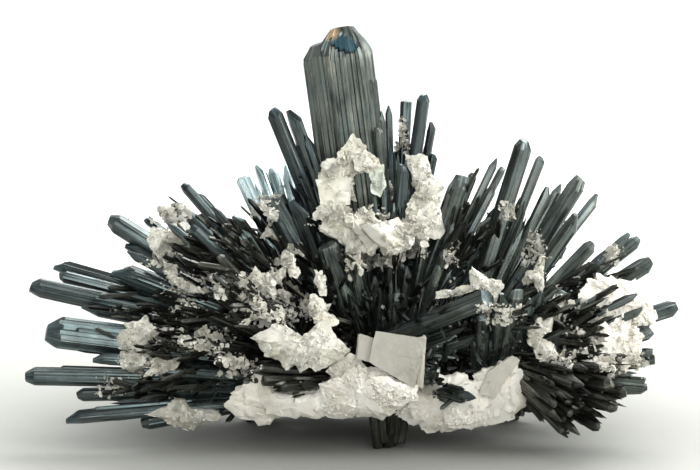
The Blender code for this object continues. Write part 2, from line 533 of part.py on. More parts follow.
def prism_clearance(crystal):
    """The box that a prism fits in with a gap all round, to cut from its neighbours."""
    root, tip = Vector(crystal.root), Vector(crystal.tip)
    axis = (tip - root).normalized()
    length = (tip - root).length
    side, face = across(axis, crystal.spin)
    ends = ((KNOT_ALONG * length - GAP, ROOT_WIDTH), (length + GAP, 1.0))
    points = []
    for along, share in ends:
        for u, v in SQUARE:
            half_w = crystal.width / 2 * share + GAP
            half_t = crystal.thick / 2 * share + GAP
            points.append(root + axis * along + side * u * half_w + face * v * half_t)
    return hull(points)


def spiral_sphere(count):
    """Directions spread evenly over a sphere along a spiral."""
    for i in range(count):
        z = 1 - 2 * (i + 0.5) / count
        turn = math.pi * (3 - math.sqrt(5)) * i
        level = math.sqrt(1 - z * z)
        yield Vector((level * math.cos(turn), level * math.sin(turn), z))


def lump(form, count, grow):
    """A faceted lump: the hull of an ellipsoid's points, each pushed in or out a little."""
    rng = random.Random(form.seed)
    points = []
    for way in spiral_sphere(count):
        out = 1 + rng.uniform(-LUMP_ROUGHNESS, LUMP_ROUGHNESS)
        reach = Vector([w * (h * out + grow) for w, h in zip(way, form.half)])
        points.append(Vector(form.centre) + reach)
    return hull(points)


def slab(form, grow):
    """A crust: its outline carried at three depths. The face has a ring of ridges and dips
    about its middle, and the back is a low cone."""
    rng = random.Random(len(form.outline))
    turned = Matrix.Rotation(math.radians(form.turn), 3, "Z") @ Matrix.Rotation(
        math.radians(-form.lean), 3, "X"
    )
    shape = bmesh.new()

    def vert(right, up, depth):
        return shape.verts.new(placed(Vector(form.centre) + turned @ Vector((right, depth, up))))

    front, back = -(form.front + grow), form.back + grow
    middle = vert(0, 0, front)
    behind = vert(0, 0, back)
    inner, edge, edge_back = [], [], []
    for right, up in form.outline:
        out = 1 + RIM_GROWTH * grow / math.hypot(right, up)
        relief = 1 - (1 - form.rim) * rng.uniform(0, CRUST_RELIEF) / (1 - INNER_RING)
        inner.append(vert(right * INNER_RING, up * INNER_RING, front * relief))
        edge.append(vert(right * out, up * out, -form.front * form.rim - grow))
        edge_back.append(vert(right * out, up * out, form.back * form.rim + grow))
    for i in range(len(form.outline)):
        j = i - 1
        for corners in (
            (middle, inner[j], inner[i]),
            (inner[j], edge[j], edge[i]),
            (inner[j], edge[i], inner[i]),
            (edge[j], edge_back[j], edge_back[i]),
            (edge[j], edge_back[i], edge[i]),
            (behind, edge_back[i], edge_back[j]),
        ):
            shape.faces.new(corners)
    return mesh_of(shape)


def knot(name, grow):
    """The mass near a bundle's root in which its crystals have grown together."""
    crystals = BUNDLES[name]
    middle = sum(
        (Vector(c.root).lerp(Vector(c.tip), KNOT_ALONG) for c in crystals), Vector()
    ) / len(crystals)
    radius = KNOT_RADIUS[name]
    return lump(Lump(middle, (radius, radius, radius), len(name)), KNOT_POINTS, grow)


def foot(place, grow):
    """A stub of broken crystals, flat on the table and wider towards the root mass."""
    x, y, low_radius, top_radius = place
    points = []
    for i in range(FOOT_SIDES):
        turn = 2 * math.pi * i / FOOT_SIDES
        ray = Vector((math.cos(turn), math.sin(turn), 0))
        points.append(Vector((x, y, -grow)) + ray * (low_radius + grow))
        points.append(Vector((x, y, FOOT_HEIGHT + grow)) + ray * (top_radius + grow))
    return hull(points)


def bundle_forms(name):
    return [knot(name, 0)] + [prism(c) for c in BUNDLES[name]]


def bundle_clearance(name):
    return [knot(name, GAP)] + [prism_clearance(c) for c in BUNDLES[name]]


def root_forms(grow):
    return [lump(ROOT_MASS, ROOT_MASS_POINTS, grow)] + [foot(place, grow) for place in FEET]


def baryte_forms(name, grow):
    return [slab(form, grow) for form in BARYTES[name]]


def box_of(mesh):
    low = [min(v.co[i] for v in mesh.vertices) for i in range(3)]
    high = [max(v.co[i] for v in mesh.vertices) for i in range(3)]
    return low, high


def meet(mesh, other):
    (low, high), (other_low, other_high) = box_of(mesh), box_of(other)
    return all(low[i] <= other_high[i] and other_low[i] <= high[i] for i in range(3))


def combined(mesh, forms, operation):
    """The mesh joined with the forms, or with the forms cut from it."""
    forms = [f for f in forms if operation == "UNION" or meet(mesh, f)]
    if not forms:
        return mesh
    group = bpy.data.collections.new("forms")
    helpers = [bpy.data.objects.new("form", f) for f in forms]
    for helper in helpers:
        group.objects.link(helper)
    bpy.context.scene.collection.children.link(group)
    body = bpy.data.objects.new("body", mesh)
    bpy.context.scene.collection.objects.link(body)
    step = body.modifiers.new("Boolean", "BOOLEAN")
    step.operation = operation
    step.operand_type = "COLLECTION"
    step.collection = group
    step.solver = "EXACT"
    bpy.context.view_layer.update()
    graph = bpy.context.evaluated_depsgraph_get()
    result = bpy.data.meshes.new_from_object(body.evaluated_get(graph))
    for helper in [*helpers, body]:
        bpy.data.objects.remove(helper)
    bpy.data.collections.remove(group)
    return result


def islands(shape):
    """The connected bodies of a mesh, as lists of faces."""
    left = set(shape.faces)
    found = []
    while left:
        grown, edge = set(), [left.pop()]
        while edge:
            face = edge.pop()
            grown.add(face)
            for link in face.edges:
                for near in link.link_faces:
                    if near in left:
                        left.remove(near)
                        edge.append(near)
        found.append(list(grown))
    return found


def face_volume(faces):
    total = 0.0
    for face in faces:
        corners = [v.co for v in face.verts]
        for a, b in zip(corners[1:], corners[2:]):
            total += corners[0].dot(a.cross(b))
    return total / 6


FLAT_ANGLE = 0.002
WELD = 2e-6


def tidied(mesh):
    """Flat neighbours joined, near points welded, and only the largest body kept."""
    shape = bmesh.new()
    shape.from_mesh(mesh)
    bmesh.ops.remove_doubles(shape, verts=shape.verts, dist=WELD)
    bmesh.ops.dissolve_limit(
        shape, angle_limit=FLAT_ANGLE, verts=shape.verts, edges=shape.edges
    )
    bmesh.ops.triangulate(shape, faces=shape.faces)
    bodies = sorted(islands(shape), key=face_volume)
    for body in bodies[:-1]:
        bmesh.ops.delete(shape, geom=body, context="FACES")
    shape.to_mesh(mesh)
    shape.free()
    return mesh


def material(name, look):
    colour, roughness, metallic = look
    made = bpy.data.materials.new(name)
    made.use_nodes = True
    shader = made.node_tree.nodes["Principled BSDF"]
    shader.inputs["Base Color"].default_value = colour
    shader.inputs["Roughness"].default_value = roughness
    shader.inputs["Metallic"].default_value = metallic
    made.diffuse_color = colour
    return made


def add_piece(name, mesh, origin, look, parent):
    """A named object whose origin is at its root, under the specimen's empty."""
    spot = placed(origin)
    mesh.transform(Matrix.Translation(-spot))
    mesh.materials.clear()
    mesh.materials.append(material(name, look))
    piece = bpy.data.objects.new(name, mesh)
    piece.location = spot
    piece.parent = parent
    bpy.context.scene.collection.objects.link(piece)
    return piece


def main():
    for old in list(bpy.data.objects):
        bpy.data.objects.remove(old)
    specimen = bpy.data.objects.new("specimen", None)
    bpy.context.scene.collection.objects.link(specimen)

    cutters = []

    def add(name, forms, grown, origin, look):
        mesh = combined(forms[0], forms[1:], "UNION")
        mesh = combined(mesh, cutters, "DIFFERENCE")
        add_piece(name, tidied(mesh), origin, look, specimen)
        cutters.extend(grown)

    for name, crystals in BUNDLES.items():
        add(name, bundle_forms(name), bundle_clearance(name), crystals[0].root, STIBNITE)
    add("root_mass", root_forms(0), root_forms(GAP), ROOT_MASS.centre, ROOT_ROCK)
    for name, slabs in BARYTES.items():
        add(name, baryte_forms(name, 0), baryte_forms(name, GAP), slabs[0].centre, BARYTE)


if __name__ == "__main__":
    main()
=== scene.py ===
import math
import random
from functools import partial

import bpy
import numpy as np
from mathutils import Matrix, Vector
from mathutils.bvhtree import BVHTree


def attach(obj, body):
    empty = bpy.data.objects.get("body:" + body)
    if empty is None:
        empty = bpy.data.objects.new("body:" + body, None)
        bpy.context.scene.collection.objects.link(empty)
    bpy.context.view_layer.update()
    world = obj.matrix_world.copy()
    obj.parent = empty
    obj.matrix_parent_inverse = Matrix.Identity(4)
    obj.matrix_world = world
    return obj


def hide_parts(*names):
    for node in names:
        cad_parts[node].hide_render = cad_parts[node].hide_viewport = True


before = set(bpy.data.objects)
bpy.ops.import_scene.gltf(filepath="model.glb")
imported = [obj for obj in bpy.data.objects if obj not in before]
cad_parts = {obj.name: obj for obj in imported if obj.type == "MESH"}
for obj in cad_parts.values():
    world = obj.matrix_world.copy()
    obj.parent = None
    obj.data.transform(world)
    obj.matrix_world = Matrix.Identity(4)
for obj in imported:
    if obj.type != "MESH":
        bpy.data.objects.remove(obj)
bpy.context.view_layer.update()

# ---- The great blade ----
# Stibnite, antimony sulphide: the tallest prism of the spray, with two narrower ones grown along
# its edges. It is a bundle of parallel ribs that ended at slightly different heights, so its
# sides are striated lengthwise and its slanted top is uneven. Lengths are in millimetres, from
# the middle of the blade's foot; MIDDLE is where the origin of the finished part lies.

MIDDLE = np.array([1.12, 6.45, 0.0])
MM = 0.001

RIB = 0.75  # typical width of a rib
GROOVE = 0.035  # depth of a groove, as a share of the half width
DEEP_GROOVE = 0.06  # the same on the great blade
STEP = 0.05  # how far a rib that stopped early falls back, as a share of the half width
STEP_RUN = 0.06  # the length of that fall, as a share of the way from root to tip
KNOT = 0.06  # crystals start this far from root to tip, inside the mass that they share
ROOT_SIZE = 0.86  # a crystal's size there, as a share of the full size
FULL_FROM = 0.35  # the share of the way to the tip at which it has its full size
STOPS = (0.25, 1.3)  # where ribs stop on the way to the tip; past 1 they don't
GROOVE_SHARE = 0.17  # half the width of a groove, as a share of its rib
SECTION_STEPS = 720  # directions in which a section's edge is measured
GIRTH = 2.6  # a section's length round its ribs, over the mean of its width and thickness
CAP_RINGS = (0.35, 0.65, 0.88)  # heights of the rings of points up a termination, as shares
CAP_UNEVEN = (-0.12, 0.3)  # how far the ribs' terminations differ in height, as shares of it
CAP_TILTS = (0.1, 0.4)  # slopes of the small end faces
END_INNER = 0.6  # size of the last ring of points on an end face, as a share of the face
PATTERN = 400  # millimetres of the materials' patterns, in which each crystal has its own place

# The flat sides of a section: (share of the width, share of the thickness) of their normals.
SECTIONS = {
    "slim": ((1.0, 0.0), (0.52, 0.86), (0.0, 1.0)),
    "six": ((1.0, 0.5), (0.0, 1.0)),
    "eight": ((1.0, 0.0), (0.0, 1.0), (0.77, 0.58)),
}
SIX_SIDED_FROM = 1.6  # millimetres of width
EIGHT_SIDED_FROM = 4.7

# Terminations: (height as a share of the width, end size across the width, across the
# thickness, sideways shift of the end as a share of the half width, and the power of the height
# by which the sides draw in: straight bevels are 1).
CAPS = {
    "point": (1.1, 0.2, 0.2, 0.0, 1.1),
    "blunt": (0.45, 0.5, 0.45, 0.1, 1.2),
    "slant": (0.8, 0.35, 0.5, 0.4, 1.0),
    "chisel": (0.6, 0.65, 0.15, 0.0, 1.0),
    "flat": (0.14, 0.8, 0.8, 0.0, 1.0),
    "arch": (0.46, 0.4, 0.32, -0.06, 1.6),
}


def unit(vector):
    """Each vector over its length."""
    return vector / np.linalg.norm(vector, axis=-1, keepdims=True)


def frame_of(axis, spin):
    """The directions of a crystal's width and thickness: the axis crossed with the depth
    direction, turned about the axis by the spin, and the axis crossed with that."""
    side = np.cross(axis, (0, 1, 0))
    if np.linalg.norm(side) < 0.2:
        side = np.cross(axis, (0, 0, 1))
    side = unit(side)
    face = np.cross(axis, side)
    turn = math.radians(spin)
    return math.cos(turn) * side + math.sin(turn) * face, math.cos(turn) * face - math.sin(turn) * side


def closed_tube(rings, around, along, **values):
    """The surface through rings of points, (rings, columns, 3), closed at both ends by a fan
    about the mean of the end ring. around has one more entry than the columns, along one for
    each ring: they are the texture coordinates in millimetres. Each of values is one number for
    every point, or an array of (rings, columns) or (rings, 1)."""
    count, columns = rings.shape[:2]
    points = np.concatenate([rings.reshape(-1, 3), rings[:1].mean(1), rings[-1:].mean(1)])
    i, j = np.meshgrid(np.arange(count - 1), np.arange(columns), indexing="ij")
    i, j = i.ravel(), j.ravel()
    here, after = i * columns + j, i * columns + (j + 1) % columns
    above, beyond = here + columns, after + columns
    faces = np.stack([here, after, beyond, here, beyond, above], 1).reshape(-1, 3)
    u, v, w, x = around[j], around[j + 1], along[i], along[i + 1]
    uv = np.stack([u, w, v, w, v, x, u, w, v, x, u, x], 1).reshape(-1, 3, 2)
    k = np.arange(columns)
    first, last = np.full(columns, count * columns), np.full(columns, count * columns + 1)
    top = (count - 1) * columns
    fans = [(np.stack([(k + 1) % columns, k, first], 1), along[0])]
    fans.append((np.stack([top + k, top + (k + 1) % columns, last], 1), along[-1]))
    for fan_faces, level in fans:
        faces = np.concatenate([faces, fan_faces])
        level = np.full(columns, level)
        middle = (around[k] + around[k + 1]) / 2
        corners = np.stack([around[k], level, around[k + 1], level, middle, level + 0.3], 1)
        uv = np.concatenate([uv, corners.reshape(-1, 3, 2)])
    made = {"points": points, "faces": faces, "uv": uv}
    for name, value in values.items():
        value = np.broadcast_to(value, (count, columns))
        made[name] = np.concatenate([value.ravel(), value[0, :1], value[-1, :1]])
    return made


def joined(parts):
    """Several surfaces as one, their faces renumbered."""
    start = np.cumsum([0] + [len(p["points"]) for p in parts[:-1]])
    whole = {"faces": np.concatenate([p["faces"] + s for p, s in zip(parts, start)])}
    for name in parts[0]:
        if name != "faces":
            whole[name] = np.concatenate([p[name] for p in parts])
    return whole


SHARP = 18  # degrees between two faces from which their edge is sharp
surfaces = []  # what small crystals can later settle on


def piece(name, surface, material, slot, *nodes, sharp=SHARP):
    """A mesh object from a surface given in millimetres, which stands for the CAD nodes. None of
    it reaches below the table."""
    surfaces.append(surface)
    mesh = bpy.data.meshes.new(name)
    points = (surface["points"] - MIDDLE) * MM
    points[:, 2] = np.maximum(points[:, 2], 0)
    faces = surface["faces"].astype(np.int32)
    mesh.vertices.add(len(points))
    mesh.vertices.foreach_set("co", points.astype(np.float32).ravel())
    mesh.loops.add(faces.size)
    mesh.loops.foreach_set("vertex_index", faces.ravel())
    mesh.polygons.add(len(faces))
    mesh.polygons.foreach_set("loop_start", np.arange(0, faces.size, 3, dtype=np.int32))
    mesh.update(calc_edges=True)
    mesh.uv_layers.new(name="mm").uv.foreach_set("vector", surface["uv"].astype(np.float32).ravel())
    for extra in sorted(set(surface) - {"points", "faces", "uv"}):
        layer = mesh.attributes.new(extra, "FLOAT", "POINT")
        layer.data.foreach_set("value", surface[extra].astype(np.float32))
    mesh.validate()
    mesh.set_sharp_from_angle(angle=math.radians(sharp))
    mesh.materials.append(material)
    made = bpy.data.objects.new(name, mesh)
    bpy.context.scene.collection.objects.link(made)
    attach(made, "root")
    if nodes:
        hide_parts(*nodes)


def section(kind, width, thick, ribs, rng):
    """A crystal's section with three columns to a rib: the side directions in shares of the half
    width and half thickness, each column's place round the edge in millimetres, and a random
    value for the flat side that it is on, a painted reflection that makes the side lighter or
    darker. The polygon is where the largest of its sides' normals times the direction reaches one."""
    angle = np.linspace(0, 2 * math.pi, SECTION_STEPS + 1)
    cos, sin = np.cos(angle), np.sin(angle)
    reach = 1 / np.max([a * abs(cos) + b * abs(sin) for a, b in SECTIONS[kind]], axis=0)
    x, y = reach * cos, reach * sin
    edge = np.concatenate([[0], np.cumsum(np.hypot(np.diff(x) * width, np.diff(y) * thick) / 2)])
    widths = rng.uniform(0.5, 1.5, ribs)
    start = np.concatenate([[0], np.cumsum(widths)]) / widths.sum() * edge[-1]
    inset = GROOVE_SHARE * np.diff(start)
    place = np.stack([start[:-1], start[:-1] + inset, start[1:] - inset], 1).ravel()
    x, y = np.interp(place, edge, x), np.interp(place, edge, y)
    normals = np.array(SECTIONS[kind])
    nearest = np.argmax(normals[:, :1] * abs(x) + normals[:, 1:] * abs(y), axis=0)
    right = (x > 0) & (normals[nearest, 0] > 0)
    front = (y > 0) & (normals[nearest, 1] > 0)
    side = nearest * 4 + right * 2 + front
    return x, y, np.append(place, edge[-1]), rng.uniform(0, 1, 4 * len(normals))[side]


def crystal(tip, root, width, thick, spin, cap, rng, rib=RIB, groove=GROOVE, rings=7, cap_rings=CAP_RINGS):
    """One striated prism. Its section is carried from root to tip; each rib stands at its own
    height and falls back a step from where it stopped growing. The termination draws in from the
    last full section to a small tilted end, by a power of the height."""
    tip, root = np.array(tip, float), np.array(root, float)
    length = np.linalg.norm(tip - root)
    axis = unit(tip - root)
    side, face = frame_of(axis, spin)
    kind = "slim" if width < SIX_SIDED_FROM else "six" if width < EIGHT_SIDED_FROM else "eight"
    ribs = max(6, round(GIRTH * (width + thick) / 2 / rib))
    x, y, around, painted_facet_reflection = section(kind, width, thick, ribs, rng)
    height, end_width, end_thick, shift, power = CAPS[cap]

    share = np.linspace(0, 1, rings) ** 0.9
    depth = rng.uniform(0, groove, ribs)
    stop = rng.uniform(*STOPS, ribs)
    step = STEP * rng.uniform(0, 1, ribs)
    recess = depth + step * np.clip((share[:, None] - stop) / STEP_RUN, 0, 1)
    recess = np.repeat(recess, 3, axis=1)
    recess[:, ::3] += 0.5 * groove * (1 + rng.uniform(0, 1, ribs))
    full = np.clip(share / FULL_FROM, 0, 1)
    size = (ROOT_SIZE + (1 - ROOT_SIZE) * full)[:, None] * (1 - recess)
    shoulder = length - height * width * (1 + np.repeat(rng.uniform(*CAP_UNEVEN, ribs), 3))
    run = KNOT * length + share[:, None] * (shoulder - KNOT * length)
    wall_x, wall_y = x * size, y * size

    ends_x, ends_y, ends_z = [], [], []
    tilt, way = rng.uniform(*CAP_TILTS), rng.uniform(0, 2 * math.pi)
    for part, inner in (*((part, 1) for part in cap_rings), (1.0, 1), (1.0, END_INNER)):
        drawn = part**power
        ex = (wall_x[-1] * (1 - drawn) + drawn * (x * end_width + shift)) * inner
        ey = (wall_y[-1] * (1 - drawn) + drawn * y * end_thick) * inner
        slope = tilt * (ex * math.cos(way) * width + ey * math.sin(way) * thick) / 2
        ends_x.append(ex)
        ends_y.append(ey)
        ends_z.append(shoulder * (1 - part) + part * (length - np.abs(slope - slope.max())))
    wide = np.concatenate([wall_x, ends_x])[..., None] * width / 2
    deep = np.concatenate([wall_y, ends_y])[..., None] * thick / 2
    out = np.concatenate([run, ends_z])[..., None]
    points = root + axis * out + side * wide + face * deep
    is_end = np.concatenate([np.zeros(rings), cap_rings, [1, 1]])[:, None] * rng.uniform(0, 1) ** 3
    start = rng.uniform(0, PATTERN, 2)
    along = np.concatenate([run.mean(1), length + np.linspace(-0.4, 0.2, len(cap_rings) + 2)])
    # A random share for the crystal and a larger one for each flat side: a painted reflection.
    tone = 0.4 * rng.uniform(0, 1) + 0.6 * painted_facet_reflection
    return closed_tube(points, around + start[0], along + start[1], tone=tone, end=is_end)


def linear(code):
    """The linear colour, opaque, of an sRGB hex code."""
    channels = np.array([int(code[i : i + 2], 16) for i in (1, 3, 5)]) / 255
    bright = ((channels + 0.055) / 1.055) ** 2.4
    return (*np.where(channels <= 0.04045, channels / 12.92, bright), 1.0)


def new_material(name):
    """A new material, and the node of its surface."""
    material = bpy.data.materials.new(name)
    material.use_nodes = True
    return material, material.node_tree.nodes["Principled BSDF"]


def set_inputs(node, inputs):
    """Gives each input of the node its value, or a link from another node's output."""
    for name, value in inputs.items():
        if isinstance(value, bpy.types.NodeSocket):
            node.id_data.links.new(value, node.inputs[name])
        else:
            node.inputs[name].default_value = value


def add_node(owner, kind, output, inputs, stops=(), **settings):
    """Adds a node with its settings and inputs to a material or a world, and returns one of its
    outputs. Stops are the places and hex colours of a colour ramp, in order."""
    node = owner.node_tree.nodes.new("ShaderNode" + kind)
    for name, value in settings.items():
        setattr(node, name, value)
    if stops:
        for place, _ in stops[2:]:
            node.color_ramp.elements.new(place)
        for element, (place, code) in zip(node.color_ramp.elements, stops):
            element.position = place
            element.color = linear(code)
    set_inputs(node, inputs)
    return node.outputs[output]


# Patterns along a prism, in repeats for each millimetre across it and along it.
STREAKS = (1.1, 0.03, 1)
STRIAE = (6.0, 0.12, 1)
TARNISH = 0.16
STRIA_DEPTH = 0.06  # millimetres


def stibnite(name, dark, mid, pale, sheen, tip, stain=None):
    """Stibnite: a soft lead-grey metallic sulphide that tarnishes dark with a blue-green cast.
    Growth striations about 0.1 mm apart run lengthwise; some ribs have a pale streak along them,
    and the fresh end faces are bluer and brighter. The tone scales the colour, so each flat side of
    a prism is lighter or darker at random: a painted reflection. A stain is a tan spot of oxide,
    (place, radius)."""
    material, shader = new_material(name)
    add = partial(add_node, material)
    place = add("UVMap", "UV", {}, uv_map="mm")
    broad = add("Mapping", "Vector", {"Vector": place, "Scale": STREAKS})
    streak = add("TexNoise", "Fac", {"Vector": broad, "Scale": 1.0, "Detail": 3.0, "Roughness": 0.6})
    fine = add("Mapping", "Vector", {"Vector": place, "Scale": STRIAE})
    stria = add("TexNoise", "Fac", {"Vector": fine, "Scale": 1.0, "Detail": 3.0, "Roughness": 0.7})
    patches = add("TexNoise", "Fac", {"Vector": place, "Scale": TARNISH, "Detail": 3.0, "Roughness": 0.6})
    tone = add("Attribute", "Fac", {}, attribute_name="tone")
    end = add("Attribute", "Fac", {}, attribute_name="end")
    lined = add("Math", "Value", {0: streak, 1: stria}, operation="ADD")
    both = add("Math", "Value", {0: lined, 1: patches}, operation="ADD")
    third = add("Math", "Value", {0: both, 1: 3.0}, operation="DIVIDE")
    stops = ((0.4, dark), (0.49, mid), (0.54, mid), (0.63, pale))
    body = add("ValToRGB", "Color", {"Fac": third}, stops)
    limits = {"From Min": 0.5, "From Max": 0.72, "To Min": 0.0, "To Max": 0.5}
    cast = add("MapRange", "Result", {"Value": patches.node.outputs["Color"], **limits})
    tinted = {"Factor": cast, "A": body, "B": linear(sheen)}
    tinted = add("Mix", "Result", tinted, data_type="RGBA")
    fresh = add("Math", "Value", {0: end, 1: 0.4}, operation="MULTIPLY")
    ended = {"Factor": fresh, "A": tinted, "B": linear(tip)}
    ended = add("Mix", "Result", ended, data_type="RGBA")
    # Painted reflection: the tone makes each flat side of a prism lighter or darker.
    level = add("MapRange", "Result", {"Value": tone, "To Min": 0.35, "To Max": 1.62})
    colour = add("VectorMath", "Vector", {0: ended, 1: level}, operation="MULTIPLY")
    if stain:
        spot, radius = stain
        centre = tuple((np.array(spot) - MIDDLE) * MM)
        where = add("TexCoord", "Object", {})
        away = add("VectorMath", "Value", {0: where, 1: centre}, operation="DISTANCE")
        limits = {"From Min": radius * MM, "From Max": 0.4 * radius * MM}
        amount = add("MapRange", "Result", {"Value": away, **limits})
        oxide = {"Factor": amount, "A": colour, "B": linear("#b39c7c")}
        colour = add("Mix", "Result", oxide, data_type="RGBA")
    limits = {"From Min": 0.7, "From Max": 1.3, "To Min": 0.18, "To Max": 0.38}
    rough = add("MapRange", "Result", {"Value": lined, **limits})
    relief = {"Height": stria, "Strength": 0.35, "Distance": STRIA_DEPTH * MM}
    bump = add("Bump", "Normal", relief)
    set_inputs(shader, {"Base Color": colour, "Roughness": rough, "Normal": bump, "Metallic": 0.85})
    return material


# Little tarnished: its ribs are pale and silky, and a fresh facet of it is blue.
ribbed_stibnite = stibnite(
    "ribbed_grey_stibnite", "#2a3030", "#5f645f", "#a3a192", "#4a6a6e", "#4d8092",
    stain=((-3.9, 1.2, 80.2), 2.3),
)

crown_blade = [
    ((-2.0, 3.0, 81.0), (4.9, 3.0, 26), 11.6, 6.4, 0, "arch"),
    ((-6.7, 3.4, 77.8), (0.2, 3.4, 26), 6.4, 5.8, 180, "blunt"),
    ((3.0, 3.4, 73.6), (8.6, 3.4, 26), 4.0, 5.6, 4, "slant"),
    ((5.4, 0.6, 61.4), (7.6, 1.6, 28), 2.2, 2.0, 20, "blunt"),
    ((6.2, 2.8, 64.4), (8.0, 2.6, 28), 1.5, 1.5, 0, "point"),
]
rng = np.random.default_rng(1)
dense = tuple(np.linspace(0.08, 0.95, 12))
blade = joined([
    crystal(*form, rng, rib=0.8, groove=DEEP_GROOVE, rings=16, cap_rings=dense) for form in crown_blade
])
# A fresh blue facet near the front of the top is flat: inside a tilted ellipse, of the half
# length and half height given, the front surface lies in one plane.
FACET_MIDDLE = (-1.3, 0.3, 77.9)
FACET_HALF = (2.9, 1.5)
FACET_TILT = math.radians(-24)
FACET_SLOPE = 0.39  # towards the back, for each millimetre of height
x, y, z = (blade["points"] - FACET_MIDDLE).T
across = x * math.cos(FACET_TILT) + z * math.sin(FACET_TILT)
upward = z * math.cos(FACET_TILT) - x * math.sin(FACET_TILT)
inside = (np.hypot(across / FACET_HALF[0], upward / FACET_HALF[1]) < 1) & (y < 2.5)
blade["points"][:, 1] = np.where(inside, FACET_MIDDLE[1] + FACET_SLOPE * z, blade["points"][:, 1])
blade["end"] = np.where(inside, 1.5, 0.1 * blade["end"])
# On the blade the painted facet reflection is kept narrow, and dark on the flat facet.
blade["tone"] = np.where(inside, 0.12, 0.36 + 0.2 * blade["tone"])
piece("great_blade", blade, ribbed_stibnite, "stibnite", "crown_blade")

# ---- Left crown prisms ----
# Two slim prisms of stibnite that lean left of the crown, with shorter dark ones under them.
# Like all the stibnite here they grew outwards from the root mass in open space, side by side
# until they touched.

NEEDLE_SIDES = 4  # of the small thin prisms between the others
NEEDLE_SHOULDER = 0.9  # where a needle's point starts, as a share of its length
BESIDE_EVERY = 1.7  # a narrower crystal stands beside a stout one for each so many millimetres
BESIDE_LENGTHS = (0.4, 0.93)  # shares of the stout one's length and width
BESIDE_WIDTHS = (0.22, 0.42)
SLIM_WIDTHS = (0.5, 1.5)  # millimetres: the needles between crystals
BIT_WIDTHS = (0.35, 1.3)  # millimetres: the splinters that lie on them
BIT_LENGTHS = (1.2, 4.5)


def copies(points, faces, uv, **values):
    """Small surfaces of one kind as one, from the points of each copy, (copies, points, 3), and the
    faces that they all share. Each of values is one number, or one for each copy, (copies, 1)."""
    count, each = points.shape[:2]
    numbered = faces + (np.arange(count) * each)[:, None, None]
    made = {"points": points.reshape(-1, 3), "faces": numbered.reshape(-1, 3)}
    made["uv"] = uv.reshape(-1, 3, 2)
    for name, value in values.items():
        made[name] = np.broadcast_to(value, (count, each)).ravel()
    return made


def needles(tips, roots, widths, rng):
    """Many thin pointed prisms at once, (count, 3) tips and roots: a four-sided ring at the root
    and one at the shoulder, closed by a fan to the tip and a fan to the root's middle."""
    count, sides = len(tips), NEEDLE_SIDES
    axis = unit(tips - roots)
    side = unit(np.cross(axis, (0.3, 1.0, 0.2)))
    face = np.cross(axis, side)
    turn = 2 * math.pi * np.arange(sides) / sides + rng.uniform(0, 1, (count, 1))
    ring = side[:, None] * np.cos(turn)[..., None] + face[:, None] * np.sin(turn)[..., None] * 0.8
    ring = ring * widths[:, None, None] / 2
    shoulder = roots + (tips - roots) * NEEDLE_SHOULDER
    rings = [roots[:, None] + ring, shoulder[:, None] + ring * 0.85]
    points = np.concatenate([*rings, tips[:, None], roots[:, None]], 1)
    k = np.arange(sides)
    after = (k + 1) % sides
    walls = np.stack([k, after, after + sides, k, after + sides, k + sides], 1).reshape(-1, 3)
    point = np.stack([k + sides, after + sides, np.full(sides, 2 * sides)], 1)
    base = np.stack([after, k, np.full(sides, 2 * sides + 1)], 1)
    faces = np.concatenate([walls, point, base])
    u = np.concatenate([k, k, [2, 2]]) / sides
    v = np.concatenate([np.zeros(sides), np.full(sides, NEEDLE_SHOULDER), [1, 0]])
    size = np.stack([widths * 3, np.linalg.norm(tips - roots, axis=1)], 1)
    uv = np.stack([u[faces], v[faces]], -1) * size[:, None, None]
    uv = uv + rng.uniform(0, PATTERN, (count, 1, 1, 2))
    return copies(points, faces, uv, tone=rng.uniform(0, 1, (count, 1)), end=0.0)


def rough_ball(centre, half, rng, rings=14, columns=20, roughness=0.16):
    """A lump: an ellipsoid from pole to pole whose points are pushed in or out at random."""
    down = np.linspace(0.06, math.pi - 0.06, rings)[:, None]
    turn = (2 * math.pi * np.arange(columns) / columns)[None]
    out = 1 - roughness * rng.uniform(0, 1, (rings, columns))
    x, y = np.sin(down) * np.cos(turn), np.sin(down) * np.sin(turn)
    ball = np.stack([x, y, -np.cos(down) + 0 * turn], -1)
    points = np.array(centre) + ball * out[..., None] * np.array(half)
    size = max(half)
    around = np.linspace(0, 2 * math.pi * size, columns + 1)
    return closed_tube(points, around, np.linspace(0, 3 * size, rings), tone=0.1, end=0.0)


